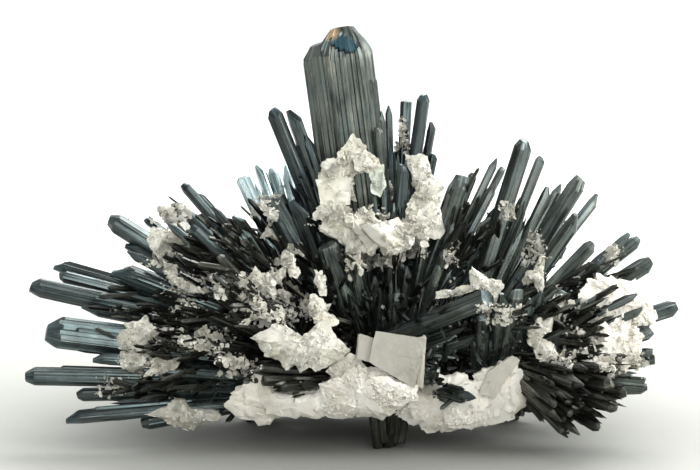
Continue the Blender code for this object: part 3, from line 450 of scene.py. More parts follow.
def bundle(crystals, seed, knot=4.0, slim=70, reach=(0.25, 0.85), beside=True, bits=110):
    """Crystals with what grows between them: narrower ones along the stout ones' sides, needles
    that take a root and a tip between those of two neighbours and stop short, short splinters
    that lie across the crystals at odd angles, and the mass at their roots in which they have
    grown together."""
    rng = np.random.default_rng(seed)
    parts = []
    for tip, root, width, thick, spin, cap in crystals:
        parts.append(crystal(tip, root, width, thick, spin, cap, rng))
        tip, root = np.array(tip, float), np.array(root, float)
        side, face = frame_of(unit(tip - root), spin)
        for _ in range(int(width / BESIDE_EVERY) if beside else 0):
            turn = rng.uniform(0, 2 * math.pi)
            off = 0.4 * (side * width * math.cos(turn) + face * thick * math.sin(turn))
            end = root + (tip - root) * rng.uniform(*BESIDE_LENGTHS) + off
            narrow = width * rng.uniform(*BESIDE_WIDTHS)
            ended = ("blunt", "slant")[rng.integers(2)]
            parts.append(crystal(end, root + off * 0.7, narrow, narrow * 0.8, spin, ended, rng, rings=5))
    tips = np.array([c[0] for c in crystals], float)
    roots = np.array([c[1] for c in crystals], float)
    a, b = rng.integers(0, len(crystals), (2, slim))
    mix = rng.uniform(-0.1, 1.1, (slim, 1))
    low = roots[a] + mix * (roots[b] - roots[a]) + rng.normal(0, 0.5, (slim, 3))
    high = tips[a] + mix * (tips[b] - tips[a])
    high = low + (high - low) * rng.uniform(*reach, (slim, 1)) + rng.normal(0, 0.8, (slim, 3))
    parts.append(needles(high, low, rng.uniform(*SLIM_WIDTHS, slim), rng))
    lying = rng.integers(0, len(crystals), bits)
    reached = tips[lying] - roots[lying]
    where = roots[lying] + reached * rng.uniform(0.1, 0.66, (bits, 1)) ** 1.2
    where = where + rng.normal(0, 0.6, (bits, 3))
    way = unit(unit(reached) + rng.normal(0, 0.5, (bits, 3)))
    way = way * rng.uniform(*BIT_LENGTHS, (bits, 1))
    parts.append(needles(where + way, where - 0.3 * way, rng.uniform(*BIT_WIDTHS, bits), rng))
    middle = (roots + KNOT * (tips - roots)).mean(0)
    parts.append(rough_ball(middle, (knot, knot, knot), rng))
    return joined(parts)


def prisms(name, node, material, seed, crystals):
    """The piece of stibnite, a bundle of the crystals, that stands for a node."""
    piece(name, bundle(crystals, seed), material, "stibnite", node)


# A darker copy of the stibnite, nearly black: painted shade, for the prisms in the shade of the crown.
crown_shade_stibnite = stibnite("crown_shade_stibnite", "#1c1e1e", "#3a403f", "#6c7470", "#3c5054", "#5a7278")

prisms("left_crown_prisms", "crown_left_prisms", crown_shade_stibnite, 2, [
    ((-15.2, -2, 65.3), (-1.5, -2, 31), 3.4, 3.0, 20, "blunt"),
    ((-11.6, -1, 65.0), (0.5, -1, 31), 3.0, 2.6, -10, "slant"),
    ((-8.7, -2, 60.0), (0.5, -2, 33), 2.1, 1.8, 0, "point"),
    ((-15.6, -5, 48.2), (-3.5, -4, 27), 5.2, 3.8, 12, "flat"),
    ((-10.8, -6, 47.8), (-3.0, -4.5, 27), 4.6, 3.4, -14, "slant"),
])

# ---- Right crown prisms ----
# Slim prisms of stibnite right of the crown, grown close together and nearly upright, partly
# hidden by the baryte on the crown's shoulder.

# Tarnished to a dark blue-grey, as most of the spray is.
tarnished_stibnite = stibnite("tarnished_stibnite", "#252a2a", "#485150", "#767f7b", "#496164", "#5f7a82")

prisms("right_crown_prisms", "crown_right_prisms", tarnished_stibnite, 3, [
    ((14.8, 6, 67.6), (9.6, 6, 30), 2.9, 2.5, 10, "blunt"),
    ((16.6, 8, 61.8), (11.0, 6.5, 30), 1.8, 1.5, 0, "slant"),
    ((16.8, 6, 55.6), (11.6, 5, 30), 1.8, 1.6, 0, "blunt"),
    ((11.4, 14, 65.8), (9.8, 9, 30), 2.5, 2.2, 0, "flat"),
    ((7.8, 13, 64.8), (8.8, 9, 30), 1.5, 1.2, 30, "point"),
])

# ---- Crown front group ----
# Short prisms of stibnite in front of the crown, grown up through the notch between two baryte
# crusts, dark blue-green where they are in shade.

prisms("crown_front_group", "crown_front_prisms", tarnished_stibnite, 4, [
    ((10.6, -3.2, 54.4), (8.6, -2.4, 31), 3.4, 2.6, 15, "blunt"),
    ((6.6, -4.6, 50.6), (7.4, -3.4, 31), 1.8, 1.5, 0, "slant"),
    ((4.4, -4.4, 49.0), (6.4, -3.4, 31), 1.7, 1.4, 20, "blunt"),
    ((8.6, -5.2, 47.0), (8.0, -3.8, 31), 1.6, 1.4, 0, "point"),
])

# ---- Pale back blades ----
# Broken blades of stibnite, rooted behind the crown's left side; stibnite splits perfectly along
# its length. Their ends and sides are painted bright and bluish: a painted reflection of the room.

back_left_blades = [
    ((-22.0, 16, 50.0), (-6.9, 6.8, 18.6), 3.3, 2.2, 0, "flat"),
    ((-18.8, 18, 52.4), (-6.3, 7.8, 18.6), 2.5, 2.0, 10, "slant"),
    ((-16.0, 18, 51.6), (-5.8, 7.8, 18.8), 2.6, 2.0, -10, "blunt"),
    ((-13.2, 18, 52.2), (-4.8, 7.8, 18.7), 2.7, 2.2, 0, "point"),
]
# A lighter, bluer copy of the stibnite: a painted reflection of the bright room on these blades.
backdrop_reflection_stibnite = stibnite("painted_reflection_stibnite", "#717f81", "#a0b0b1", "#e2eaea", "#95b0b6", "#c4d8dc")
pale = bundle(back_left_blades, 5, slim=14, reach=(0.6, 0.95), bits=20)
# Painted reflection: their tone is kept high, so they stay light.
pale["tone"] = 0.4 + 0.6 * pale["tone"]
piece("pale_back_blades", pale, backdrop_reflection_stibnite, "stibnite", "back_left_blades")

# ---- Left prisms ----
# Bundles of stibnite prisms that grew left from the root mass. From the top down: slim ones
# with one broad dark one nearest the middle, the higher and the longest of those that point
# left, the stoutest with its broad facet, and those that lie just above the table.

prisms("upper_left_prism_group", "upper_left_prisms", tarnished_stibnite, 6, [
    ((-33.2, 2, 50.0), (-11.5, 0, 25), 2.3, 2.0, 0, "blunt"),
    ((-30.6, 4, 48.2), (-10.0, 1.5, 25.5), 1.8, 1.6, 20, "slant"),
    ((-35.8, -6, 43.2), (-12.5, -2.5, 23), 1.8, 1.6, 0, "point"),
    ((-31.0, -8, 42.7), (-11.5, -4, 23), 2.2, 1.8, 0, "chisel"),
    ((-22.4, -10, 42.0), (-10.5, -5, 22), 4.8, 3.8, 10, "blunt"),
    ((-22.6, -3, 44.4), (-9.0, -1.5, 25), 2.3, 2.0, 0, "slant"),
    ((-27.0, -3, 46.0), (-10.5, -1.5, 25), 1.9, 1.6, 0, "point"),
])

prisms("high_left_prisms", "left_high_prisms", tarnished_stibnite, 7, [
    ((-48.8, 10, 42.2), (-9.9, 4.2, 18.4), 4.3, 3.7, 15, "blunt"),
    ((-45.2, 9, 37.4), (-10.5, 5.0, 18.0), 3.2, 2.8, 0, "slant"),
    ((-42.0, 16, 41.4), (-10.4, 6.8, 19.1), 1.9, 1.6, 0, "blunt"),
    ((-39.2, 21, 43.4), (-9.7, 7.8, 18.8), 3.2, 2.6, 0, "slant"),
    ((-36.4, 22, 43.8), (-8.9, 8.8, 19.3), 3.1, 2.4, 20, "blunt"),
])

prisms("long_left_prisms", "left_long_prisms", tarnished_stibnite, 8, [
    ((-44.0, -2, 37.0), (-13.5, -1, 20), 2.1, 1.8, 0, "point"),
    ((-59.2, 4, 33.6), (-15.5, 1.5, 21.5), 2.9, 2.4, 0, "slant"),
    ((-58.0, 1.2, 31.8), (-15.5, 0.5, 21), 2.7, 2.2, 25, "blunt"),
    ((-47.0, -1, 33.4), (-15.0, -0.5, 21.0), 4.4, 3.4, 10, "slant"),
    ((-63.2, -2, 30.2), (-15.5, -1, 19.5), 4.2, 3.6, 0, "blunt"),
    ((-53.0, -4, 26.2), (-15.0, -2, 18), 2.7, 2.2, 0, "point"),
])

prisms("stout_left_prism", "left_stout_prism", tarnished_stibnite, 9, [
    ((-59.4, -9.5, 22.4), (-15.0, -7.5, 16.4), 6.2, 5.2, 18, "blunt"),
    ((-49.8, -13, 17.6), (-15.0, -9, 14.6), 2.4, 2.0, 0, "slant"),
    ((-38.0, -15, 20.0), (-14.5, -10, 15.6), 3.3, 2.6, 0, "flat"),
])

prisms("low_left_prisms", "lower_left_prisms", tarnished_stibnite, 10, [
    ((-63.4, -10, 13.6), (-14.0, -6.5, 12.0), 3.9, 3.2, 10, "blunt"),
    ((-53.2, -12, 10.2), (-14.0, -8, 10.4), 2.9, 2.4, 0, "blunt"),
    ((-44.6, -16, 13.0), (-13.5, -11, 11.8), 1.8, 1.5, 0, "point"),
    ((-55.0, -15, 6.2), (-13.0, -10, 9.2), 3.1, 2.4, 0, "slant"),
    ((-40.8, -12, 4.6), (-20.0, -9.5, 8.0), 3.4, 2.8, 0, "blunt"),
    ((-35.0, -18.5, 15.8), (-12.0, -11.5, 13), 2.0, 1.7, 0, "point"),
])

# ---- Inner left fan ----
# A dark fan of stibnite, rooted under the left baryte crusts, of which little more than the
# tips shows. A fan's numbers are: its seed, root, aim, spread in degrees, count, and limits of
# length and width.

GOLDEN_TURN = 137.5  # degrees from one direction to the next on a sunflower spiral
FAN_SPINS = (-40, 40)  # degrees that its crystals are turned about their lengths
FAN_THICKNESS = (0.7, 0.95)  # their thickness, as a share of their width
ROOT_SPREAD = 6.0  # how far a fan's outer roots stand from its middle, over the sine of the angle


def axes_of(way):
    """Unit vectors along the way, level across it, and upwards across it."""
    way = unit(np.array(way, float))
    level = unit(np.cross(way, (0, 0, 1)))
    return way, level, np.cross(level, way)


def fan(seed, root, aim, spread, count, length, width, caps=("blunt", "slant", "chisel")):
    """Crystals that diverge from one root: directions on a sunflower spiral about the aim, out
    to the spread in degrees, with length and width drawn between the two limits of each."""
    rng = random.Random(seed)
    aim, across, upward = axes_of(aim)
    made = []
    for i in range(count):
        off = math.radians(spread) * math.sqrt((i + 0.5) / count)
        turn = math.radians(GOLDEN_TURN) * i + rng.uniform(-0.3, 0.3)
        lean = math.cos(turn) * across + math.sin(turn) * upward
        way = math.cos(off) * aim + math.sin(off) * lean
        base = root + ROOT_SPREAD * math.sin(off) * lean
        wide = rng.uniform(*width)
        far = rng.uniform(*length)
        thick = wide * rng.uniform(*FAN_THICKNESS)
        spin = rng.uniform(*FAN_SPINS)
        made.append((base + far * way, base, wide, thick, spin, rng.choice(caps)))
    return made


# Under a dull black film that leaves little of the blue.
sooty_stibnite = stibnite("sooty_stibnite", "#1c1d1b", "#454640", "#86847a", "#3b4243", "#484f50")

inner = fan(11, (-9.5, -7, 17), (-0.8, -0.42, 0.44), 24, 10, (18, 28), (1.8, 2.6), ("point", "blunt"))
prisms("inner_left_fan", "left_inner_prisms", sooty_stibnite, 11, inner)

# ---- Heart of the spray ----
# The dark upright heart of the spray under the crown's baryte: thin prisms of stibnite in
# shade, grown up from the middle of the root mass, most of them pointed or bevelled.

# Weathered to a dull, slightly greenish grey.
dull_stibnite = stibnite("dull_grey_stibnite", "#2b2e2c", "#585e5a", "#8f948a", "#52646a", "#6a7c82")

prisms("heart_of_the_spray", "heart_prisms", dull_stibnite, 12, [
    ((0.4, -12, 37.6), (3.6, -6.5, 19), 3.7, 3.0, 10, "chisel"),
    ((-4.4, -10.5, 39.6), (1.6, -5.5, 19), 4.6, 3.6, 0, "flat"),
    ((14.6, -9, 39.8), (10.4, -5.5, 19), 2.0, 1.7, 0, "point"),
    ((17.4, -11, 35.4), (11.4, -6.5, 18.5), 2.1, 1.8, 20, "blunt"),
    ((8.0, -8, 36.4), (7.4, -5, 19), 2.6, 2.2, 0, "blunt"),
    ((11.4, -10, 35.0), (9.4, -5.5, 18.5), 2.1, 1.8, 0, "slant"),
    ((4.8, -13, 33.6), (6.0, -7, 17.5), 2.4, 2.0, 0, "point"),
    ((9.2, -14.5, 30.6), (8.0, -8, 17), 2.2, 1.9, 0, "chisel"),
    ((-1.6, -14, 32.8), (4.0, -7.5, 17.5), 2.4, 2.0, 0, "point"),
])

# ---- Right prisms ----
# Bundles of stibnite prisms that grew right from the root mass: a blocky striated one right of
# the crown with thin dark ones behind it, a long straight one with stout ones that fan out
# beside it, those that point right behind the baryte there, and short ones low on the right.

prisms("right_block_group", "right_block_prisms", dull_stibnite, 13, [
    ((22.2, -3, 52.2), (12.0, -1.5, 23), 4.4, 3.6, 8, "chisel"),
    ((20.4, -6.4, 43.2), (13.0, -3, 22), 2.6, 2.2, 0, "slant"),
    ((24.6, 1.6, 52.2), (13.6, 1, 24), 2.0, 1.7, 0, "blunt"),
    ((29.6, 10, 54.4), (14.4, 3.2, 23.5), 1.7, 1.4, 0, "point"),
    ((31.0, 11, 52.4), (15.0, 3.4, 23), 1.7, 1.4, 0, "chisel"),
    ((29.2, 3.5, 50.4), (15.4, 1.0, 24), 2.0, 1.7, 0, "point"),
])

prisms("upper_right_prism_group", "upper_right_prisms", dull_stibnite, 14, [
    ((34.6, 0, 59.0), (22.8, -0.5, 21), 4.0, 3.6, 12, "blunt"),
    ((38.2, 4.5, 55.2), (25.0, 2.5, 21), 2.2, 1.9, 0, "blunt"),
    ((39.6, 3, 49.2), (26.0, 1, 20.5), 2.0, 1.7, 0, "slant"),
    ((42.2, 6, 49.6), (27.0, 3, 20.5), 2.0, 1.8, 0, "point"),
    ((45.8, 1, 51.3), (26.4, 0, 20), 3.9, 3.3, 10, "chisel"),
    ((50.0, 8, 47.0), (28.4, 3.5, 20), 2.3, 2.0, 0, "slant"),
    ((44.8, -4.2, 44.4), (27.4, -2.6, 18.5), 3.4, 3.0, 14, "slant"),
    ((47.8, -4.6, 39.0), (28.4, -3, 18), 3.3, 2.4, 20, "blunt"),
])

prisms("right_prism_group", "right_prisms", dull_stibnite, 15, [
    ((58.0, 5, 38.6), (30.5, 2, 17.5), 2.9, 2.4, 0, "blunt"),
    ((56.0, 3.6, 39.6), (30.5, 1.5, 18), 2.4, 2.0, 20, "slant"),
    ((60.0, 1, 34.6), (31.0, 0, 16.5), 4.0, 3.2, 15, "blunt"),
    ((65.4, 2, 25.4), (31.0, 0.5, 14.5), 3.9, 3.4, 20, "blunt"),
])

prisms("low_right_prisms", "right_low_prisms", dull_stibnite, 16, [
    ((59.6, -6, 21.6), (30.5, -4.5, 11.5), 2.9, 2.4, 0, "blunt"),
    ((60.4, -4, 15.8), (30.5, -3.5, 10.0), 2.3, 1.9, 0, "flat"),
    ((58.2, -9, 11.0), (30.5, -5.5, 9.0), 2.6, 2.2, 0, "blunt"),
])

# ---- Front right prisms ----
# The stout striated prism of stibnite that grew forwards, right and up, with a slim one under
# it, and the thin blue-grey blades side by side behind the right part of the base crust.

prisms("striated_front_prism", "front_right_prism", dull_stibnite, 17, [
    ((26.3, -23, 30.9), (7.0, -12.5, 21.0), 4.4, 4.0, 12, "flat"),
    ((24.0, -19, 22.4), (10.0, -12.5, 16.5), 2.4, 2.0, 0, "slant"),
])

prisms("front_right_blade_group", "front_right_blades", dull_stibnite, 18, [
    ((25.2, -20, 26.8), (25.4, -11.5, 14), 2.6, 1.8, 0, "flat"),
    ((29.3, -21, 31.4), (28.0, -11.5, 14), 2.9, 2.0, 0, "slant"),
    ((31.8, -20.5, 32.2), (29.2, -11.5, 14), 3.3, 2.2, 8, "chisel"),
    ((34.2, -19.5, 30.2), (30.4, -11.0, 14), 2.8, 2.0, -8, "point"),
    ((37.2, -16.5, 31.2), (31.0, -10.0, 14.5), 2.8, 2.2, 20, "slant"),
    ((41.2, -14.0, 30.8), (31.4, -9.0, 15), 2.6, 1.9, 0, "chisel"),
])

# ---- Low right tuft ----
# A tuft of short black prisms of stibnite at the lower right, grown out and down from the root
# mass, which a hundred thinner ones fill.

lower_right_tuft = fan(
    23, (33.5, -11, 15), (0.77, -0.62, -0.03), 19, 11, (16, 23), (2.1, 3.2), ("point", "blunt")
)
tuft_filling = fan(
    61, (31.0, -12, 16.0), (0.72, -0.62, -0.3), 19, 100, (13, 20), (1.1, 2.0), ("point", "blunt", "flat")
)
tuft = joined([
    bundle(lower_right_tuft, 19, slim=360, reach=(0.4, 1.0), bits=200),
    bundle(tuft_filling, 61, knot=3.0, slim=260, reach=(0.5, 1.0), beside=False, bits=80),
])
piece("low_right_tuft", tuft, sooty_stibnite, "stibnite", "lower_right_tuft")

# ---- Thin prisms on base ----
# Two thin prisms of stibnite that lie on the baryte of the base, held by it, one with a
# pointed and one with a slanted end.

prisms("thin_prisms_on_base", "front_low_prism", dull_stibnite, 20, [
    ((23.6, -27.5, 12.6), (13.0, -14, 12.0), 2.1, 1.5, 0, "point"),
    ((17.0, -24.0, 16.8), (11.0, -13.5, 12.0), 2.0, 1.5, 0, "slant"),
])

# ---- Fans behind ----
# The back is a guess, built like the front from fans of stibnite: one that leans back behind
# the crown, stout prisms at the left and the middle, two fans at the right and round the right
# end, and a small upright one behind the right block.

BACK_FANS = (
    ("fan_behind_crown", "back_crown_fan",
     31, (6, 11, 27), (0.05, 0.55, 0.84), 21, 8, (20, 33), (2.1, 3.8)),
    ("fan_back_left", "back_left_fan",
     37, (-11, 13, 19), (-0.72, 0.6, 0.3), 23, 8, (28, 40), (2.4, 4.4)),
    ("fan_back_middle", "back_middle_fan",
     41, (2, 16.5, 18), (-0.1, 0.9, 0.42), 26, 7, (17, 25), (2.6, 4.6)),
    ("fan_back_right", "back_right_fan",
     43, (20, 14.5, 18), (0.42, 0.78, 0.46), 23, 8, (20, 30), (2.4, 4.2)),
    ("fan_right_back", "right_back_fan",
     47, (29.5, 8, 15.5), (0.83, 0.5, 0.22), 21, 8, (22, 32), (2.1, 3.8)),
    ("fan_high_right_back", "back_high_right_fan",
     53, (18, 9, 24), (0.5, 0.42, 0.76), 17, 7, (19, 30), (2.1, 3.2)),
)
for seed, (name, node, *numbers) in enumerate(BACK_FANS, 21):
    prisms(name, node, tarnished_stibnite, seed, fan(*numbers))

# ---- Root mass ----
# The body of intergrown stibnite that every prism grows from, of fine dark needles pointing
# outwards, broken off flat underneath on three low feet that the specimen stands on.

ROOT_MIDDLE = (7, 2, 15)
ROOT_HALF = np.array((30, 15.5, 11.5))
BALL_SIZE = 0.94  # of the lump under the needles, as a share of the whole
SKIN = 0.93  # where needles stand on it, as the same share
ROOT_NEEDLES = 2000
# Each foot's place to the right and to the back, and its radius at the table and at the top.
FEET = ((7.4, -13.5, 3.2, 5.4), (-18.0, 13.0, 3.8, 7.0), (33.0, 12.0, 3.8, 7.0))
FOOT_HEIGHT = 10.0
PRISMS_PER_FOOT = 14
PRISM_TURN = 2.4  # radians from one of them to the next
PRISM_SIZE = (2.2, 1.9)
ROOT_LENGTHS = (1.5, 5.0)  # millimetres: the needles of the root mass
ROOT_WIDTHS = (0.4, 1.1)
UNDERSIDE = -0.2  # needles that point down more than this are broken off short
BROKEN_LENGTH = 0.6

rng = np.random.default_rng(71)
parts = [rough_ball(ROOT_MIDDLE, ROOT_HALF * BALL_SIZE, rng, rings=44, columns=80, roughness=0.1)]
ways = unit(rng.normal(0, 1, (ROOT_NEEDLES, 3)))
skin = ROOT_MIDDLE + ways * ROOT_HALF * SKIN
out = unit(ways / ROOT_HALF * ROOT_HALF[2] + rng.normal(0, 0.35, (ROOT_NEEDLES, 3)))
long = rng.uniform(*ROOT_LENGTHS, (ROOT_NEEDLES, 1))
long = np.where(ways[:, 2:] < UNDERSIDE, BROKEN_LENGTH, long)
ends = skin + out * long
parts.append(needles(ends, skin - out, rng.uniform(*ROOT_WIDTHS, ROOT_NEEDLES), rng))
for x, y, low, top in FEET:
    for k in range(PRISMS_PER_FOOT):
        turn, out = PRISM_TURN * k, math.sqrt(k / PRISMS_PER_FOOT)
        ray = np.array([math.cos(turn), math.sin(turn), 0]) * out
        tip = np.array([x, y, 0]) + ray * (low - 0.9)
        root = np.array([x, y, FOOT_HEIGHT + 2]) + ray * (top - 1.0)
        high = 0 if k % 3 == 0 else rng.uniform(0.3, 2.5)
        tip = tip + (root - tip) * high / 10
        parts.append(crystal(tip, root, *PRISM_SIZE, rng.uniform(0, 90), "flat", rng, rings=4))
piece("root_mass_needles", joined(parts), sooty_stibnite, "root_rock", "root_mass")

# ---- Square tile ----
# Baryte, barium sulphate, grew last, in crusts of thin white plates over the stibnite. This is
# the single square plate that stands on the base, smooth and pearly with a layered bright right
# edge, and a smaller grey plate behind its left edge. A crust's numbers are: its centre, the
# thickness to the front and to the back, the share of it left at the rim, the plan direction
# that it faces, how far its top leans back, and its outline to the right and up from the centre.

FINE = 0.3  # millimetres between a crust's grid points
LAYERS = 4  # plates that show along a rim
SHINGLE_EVERY = 3.5  # square millimetres of crust for each shingle
LARGE_SHINGLES = 6  # of them, which are about as wide as the crust
GRAINS_EVERY = 6.0  # sugary grains to a square millimetre
SHINGLE_SIZES = (0.6, 2.0)  # millimetres from the middle to a corner
LARGE_SIZES = (0.5, 0.9)  # the same for the large ones, as shares of the crust's radius
RIM_GROOVE = 0.35  # millimetres by which every other plate along a rim stands back
AREA = 2.6  # of a jagged outline, over the square of its mean radius
LEAST_GRAIN = 0.3  # millimetres
BEHIND = np.array([0.9, 0.6, 0.3, 0.05])  # rings of points behind a crust, as shares of its radius
TABLET = ((1.0, 0.0), (0.5, 0.7), (-0.45, 0.75), (-1.0, 0.1), (-0.4, -0.75), (0.55, -0.65))


def tablets(centres, normals, sizes, thick, rng, along=None, stretch=1.0):
    """Many small six-cornered plates at once: the outline TABLET in the plane across each
    normal, its length along the given direction or any, at half the thickness each way."""
    count, corners = len(centres), len(TABLET)
    along = rng.normal(0, 1, (count, 3)) if along is None else along
    face = unit(np.cross(normals, along))
    side = np.cross(face, normals)
    shape = np.array(TABLET) * rng.uniform(0.75, 1.15, (count, corners, 1)) * (stretch, 1)
    flat = side[:, None] * shape[..., :1] + face[:, None] * shape[..., 1:]
    flat = flat * sizes[:, None, None] / 2
    lift = (normals * thick[:, None] / 2)[:, None]
    points = np.concatenate([flat + lift, flat * 0.94 - lift], 1) + centres[:, None]
    k = np.arange(corners)
    after = (k + 1) % corners
    fan_faces = np.stack([np.zeros(corners - 2, int), k[1:-1], k[2:]], 1)
    walls = np.stack([k + corners, after + corners, after, k + corners, after, k], 1).reshape(-1, 3)
    faces = np.concatenate([fan_faces, fan_faces[:, ::-1] + corners, walls])
    spread = np.concatenate([TABLET, TABLET])[faces] * sizes[:, None, None, None]
    # Each tablet has its own tone, and a rim value that paints it lighter: a painted glow.
    tone, rim = rng.uniform(0, 1, (count, 1)), rng.uniform(0, 0.6, (count, 1))
    return copies(points, faces, spread, tone=tone, rim=rim, sugar=1.0)


def jagged(outline, rng, tooth):
    """The outline's points every FINE millimetres, each moved in or out along its ray by straight
    teeth of two sizes, about two millimetres and half a millimetre apart."""
    corners = np.array(outline + outline[:1], float)
    edge = np.concatenate([[0], np.cumsum(np.linalg.norm(np.diff(corners, axis=0), axis=1))])
    count = max(40, int(edge[-1] / FINE))
    place = edge[-1] * np.arange(count) / count
    points = np.stack([np.interp(place, edge, corners[:, i]) for i in (0, 1)], 1)
    shift = 0
    for apart, share in ((2.0, 1.0), (0.5, 0.45)):
        teeth = max(8, int(edge[-1] / apart))
        knots = np.concatenate([[0], np.sort(rng.uniform(0, edge[-1], teeth)), [edge[-1]]])
        moved = share * rng.uniform(-tooth, 0.25 * tooth, teeth + 2)
        moved[-1] = moved[0]
        shift = shift + np.interp(place, knots, moved)
    return points * (1 + shift / np.linalg.norm(points, axis=1))[:, None]


def shingled(edge, rho, radius, shingle, rng):
    """How high a crust's face stands over its dome: at each point the highest of many thin rhombic
    shingles, each a plane with its own height and tilt inside its own rhomb, and nothing at the
    rim."""
    plates = max(LARGE_SHINGLES, int(AREA * radius**2 / SHINGLE_EVERY))
    pick = rng.integers(0, len(edge), plates)
    middles = edge[pick] * np.sqrt(rng.uniform(0, 1, (plates, 1)))
    heading = rng.uniform(0, math.pi) + rng.normal(0, 0.3, plates)
    large = np.arange(plates) < LARGE_SHINGLES
    sizes = rng.uniform(*LARGE_SIZES, plates) * radius
    sizes = np.where(large, sizes, rng.uniform(*SHINGLE_SIZES, plates))
    rise = np.where(large, rng.uniform(-1, 0.4, plates), rng.uniform(-1, 1, plates)) * shingle
    tilt = rng.normal(0, 1, (plates, 2)) * np.where(large, 0.16, 0.3)[:, None]
    tilt = tilt * min(1, shingle / 0.3)
    away = (rho[:, None, None] * edge)[:, :, None] - middles
    along = away[..., 0] * np.cos(heading) + away[..., 1] * np.sin(heading)
    beside = away[..., 1] * np.cos(heading) - away[..., 0] * np.sin(heading)
    inside = abs(along) + abs(beside) * 1.25 < sizes
    height = np.where(inside, rise + (away * tilt).sum(-1), -shingle).max(-1)
    return height * (1 - rho[:, None] ** 6)


def tablets_on(points, sugary, small, wide, centre, radius, facing, rng):
    """Tablets that grew on a crust whose grid of points is given: small ones at all angles where
    it is sugary, and wide thin ones near the rim, nearly parallel to it, that point outwards."""
    rows, count = sugary.shape
    parts = []
    if small:
        i = (np.sqrt(rng.uniform(0, 0.96, small)) * (rows - 1)).astype(int)
        j = rng.integers(0, count, small)
        keep = sugary[i, j] > rng.uniform(0, 0.6, small)
        i, j = i[keep], j[keep]
        normals = unit(facing + rng.normal(0, 0.9, (len(i), 3)))
        size = LEAST_GRAIN + 1.0 * rng.uniform(0, 1, len(i)) ** 3
        parts.append(tablets(points[i, j], normals, size, size * 0.25, rng))
    if wide:
        j = rng.integers(0, count, wide)
        i = (rng.uniform(0.3, 0.999, wide) ** 0.6 * rows).astype(int)
        normals = unit(facing + rng.normal(0, 0.45, (wide, 3)))
        size = (0.12 + 0.45 * rng.uniform(0, 1, wide) ** 2) * min(radius, 6.0) + 0.4
        inner = points[i, j] + (centre - points[i, j]) * (0.6 * size / radius)[:, None]
        growth = points[i, j] - ROOT_MIDDLE + rng.normal(0, 6, (wide, 3))
        thin = rng.uniform(0.15, 0.4, wide)
        parts.append(tablets(inner, normals, size, thin, rng, growth, stretch=1.1))
    return parts


def crust(form, rng, sugar=0.5, tooth=1.0, shingle=0.5, grains=1.0, blades=4.0):
    """One crust. Its jagged outline is carried from the middle to the rim over a low shingled
    dome, then over the layered rim, and back to the middle behind; tablets lie on it. The grid
    is made upright, facing the front, then leant back and turned to its direction."""
    centre, front, back, rim, turn, lean, outline = form
    edge = jagged(outline, rng, tooth)
    count = len(edge)
    radius = np.linalg.norm(edge, axis=1).mean()
    rho = np.linspace(0.04, 1, max(12, int(radius / FINE)))
    flat = rho[:, None, None] * edge
    height = shingled(edge, rho, radius, shingle, rng)
    dome = 1 - (1 - rim) * rho[:, None] ** 1.7
    depth = -np.minimum(front * dome + height, front)
    sugary = np.clip((flat @ rng.normal(0, 1, 2)) / radius + 2 * sugar - 0.5, 0, 1)

    rings = [np.concatenate([flat, depth[..., None]], 2)]
    thick = front * rim
    for layer in range(1, LAYERS * 2 + 1):
        share = layer / (LAYERS * 2)
        inward = 1 - RIM_GROOVE / radius * (layer // 2 % 2) - 0.1 * share
        level = -thick + share * min(thick * 2, thick + back * rim)
        rings.append(np.concatenate([edge * inward, np.full((count, 1), level)], 1)[None])
    cone = np.broadcast_to((back * (1 - (1 - rim) * BEHIND))[:, None, None], (len(BEHIND), count, 1))
    rings.append(np.concatenate([BEHIND[:, None, None] * edge, cone], 2))
    local = np.concatenate(rings)
    glow_rims, grain = np.zeros(local.shape[:2]), np.zeros(local.shape[:2])
    # The layered rim rings are marked to be painted lighter: a painted glow.
    glow_rims[len(rho) : -len(BEHIND)] = 1
    grain[: len(rho)] = sugary

    cos, sin = math.cos(math.radians(turn)), math.sin(math.radians(turn))
    plan = np.array([[cos, -sin, 0], [sin, cos, 0], [0, 0, 1]])
    cos, sin = math.cos(math.radians(-lean)), math.sin(math.radians(-lean))
    turned = plan @ np.array([[1, 0, 0], [0, cos, -sin], [0, sin, cos]])
    points = np.array(centre) + local[..., [0, 2, 1]] @ turned.T
    around = np.arange(count + 1) * FINE
    run = np.arange(len(points)) * FINE
    values = {"tone": rng.uniform(0, 1), "rim": glow_rims[:, ::-1], "sugar": grain[:, ::-1]}
    body = closed_tube(points[:, ::-1], around, run, **values)
    small = int(AREA * radius**2 * GRAINS_EVERY * sugar * grains)
    facing = turned @ np.array([0, -1.0, 0])
    grown = tablets_on(points, sugary, small, int(blades * radius), centre, radius, facing, rng)
    return joined([body, *grown])


def crusts(forms, seed, **settings):
    """Several crusts of one kind, as one surface."""
    rng = np.random.default_rng(seed)
    return joined([crust(form, rng, **settings) for form in forms])


# Patterns in the body of the baryte, in repeats for each millimetre.
CLOUDS = 0.16
GRIT = 1.5
HAZE = 0.33
GRIT_DEPTH = 0.25  # millimetres
GLOW_DEPTH = 0.8  # millimetres that light enters it, the most for red


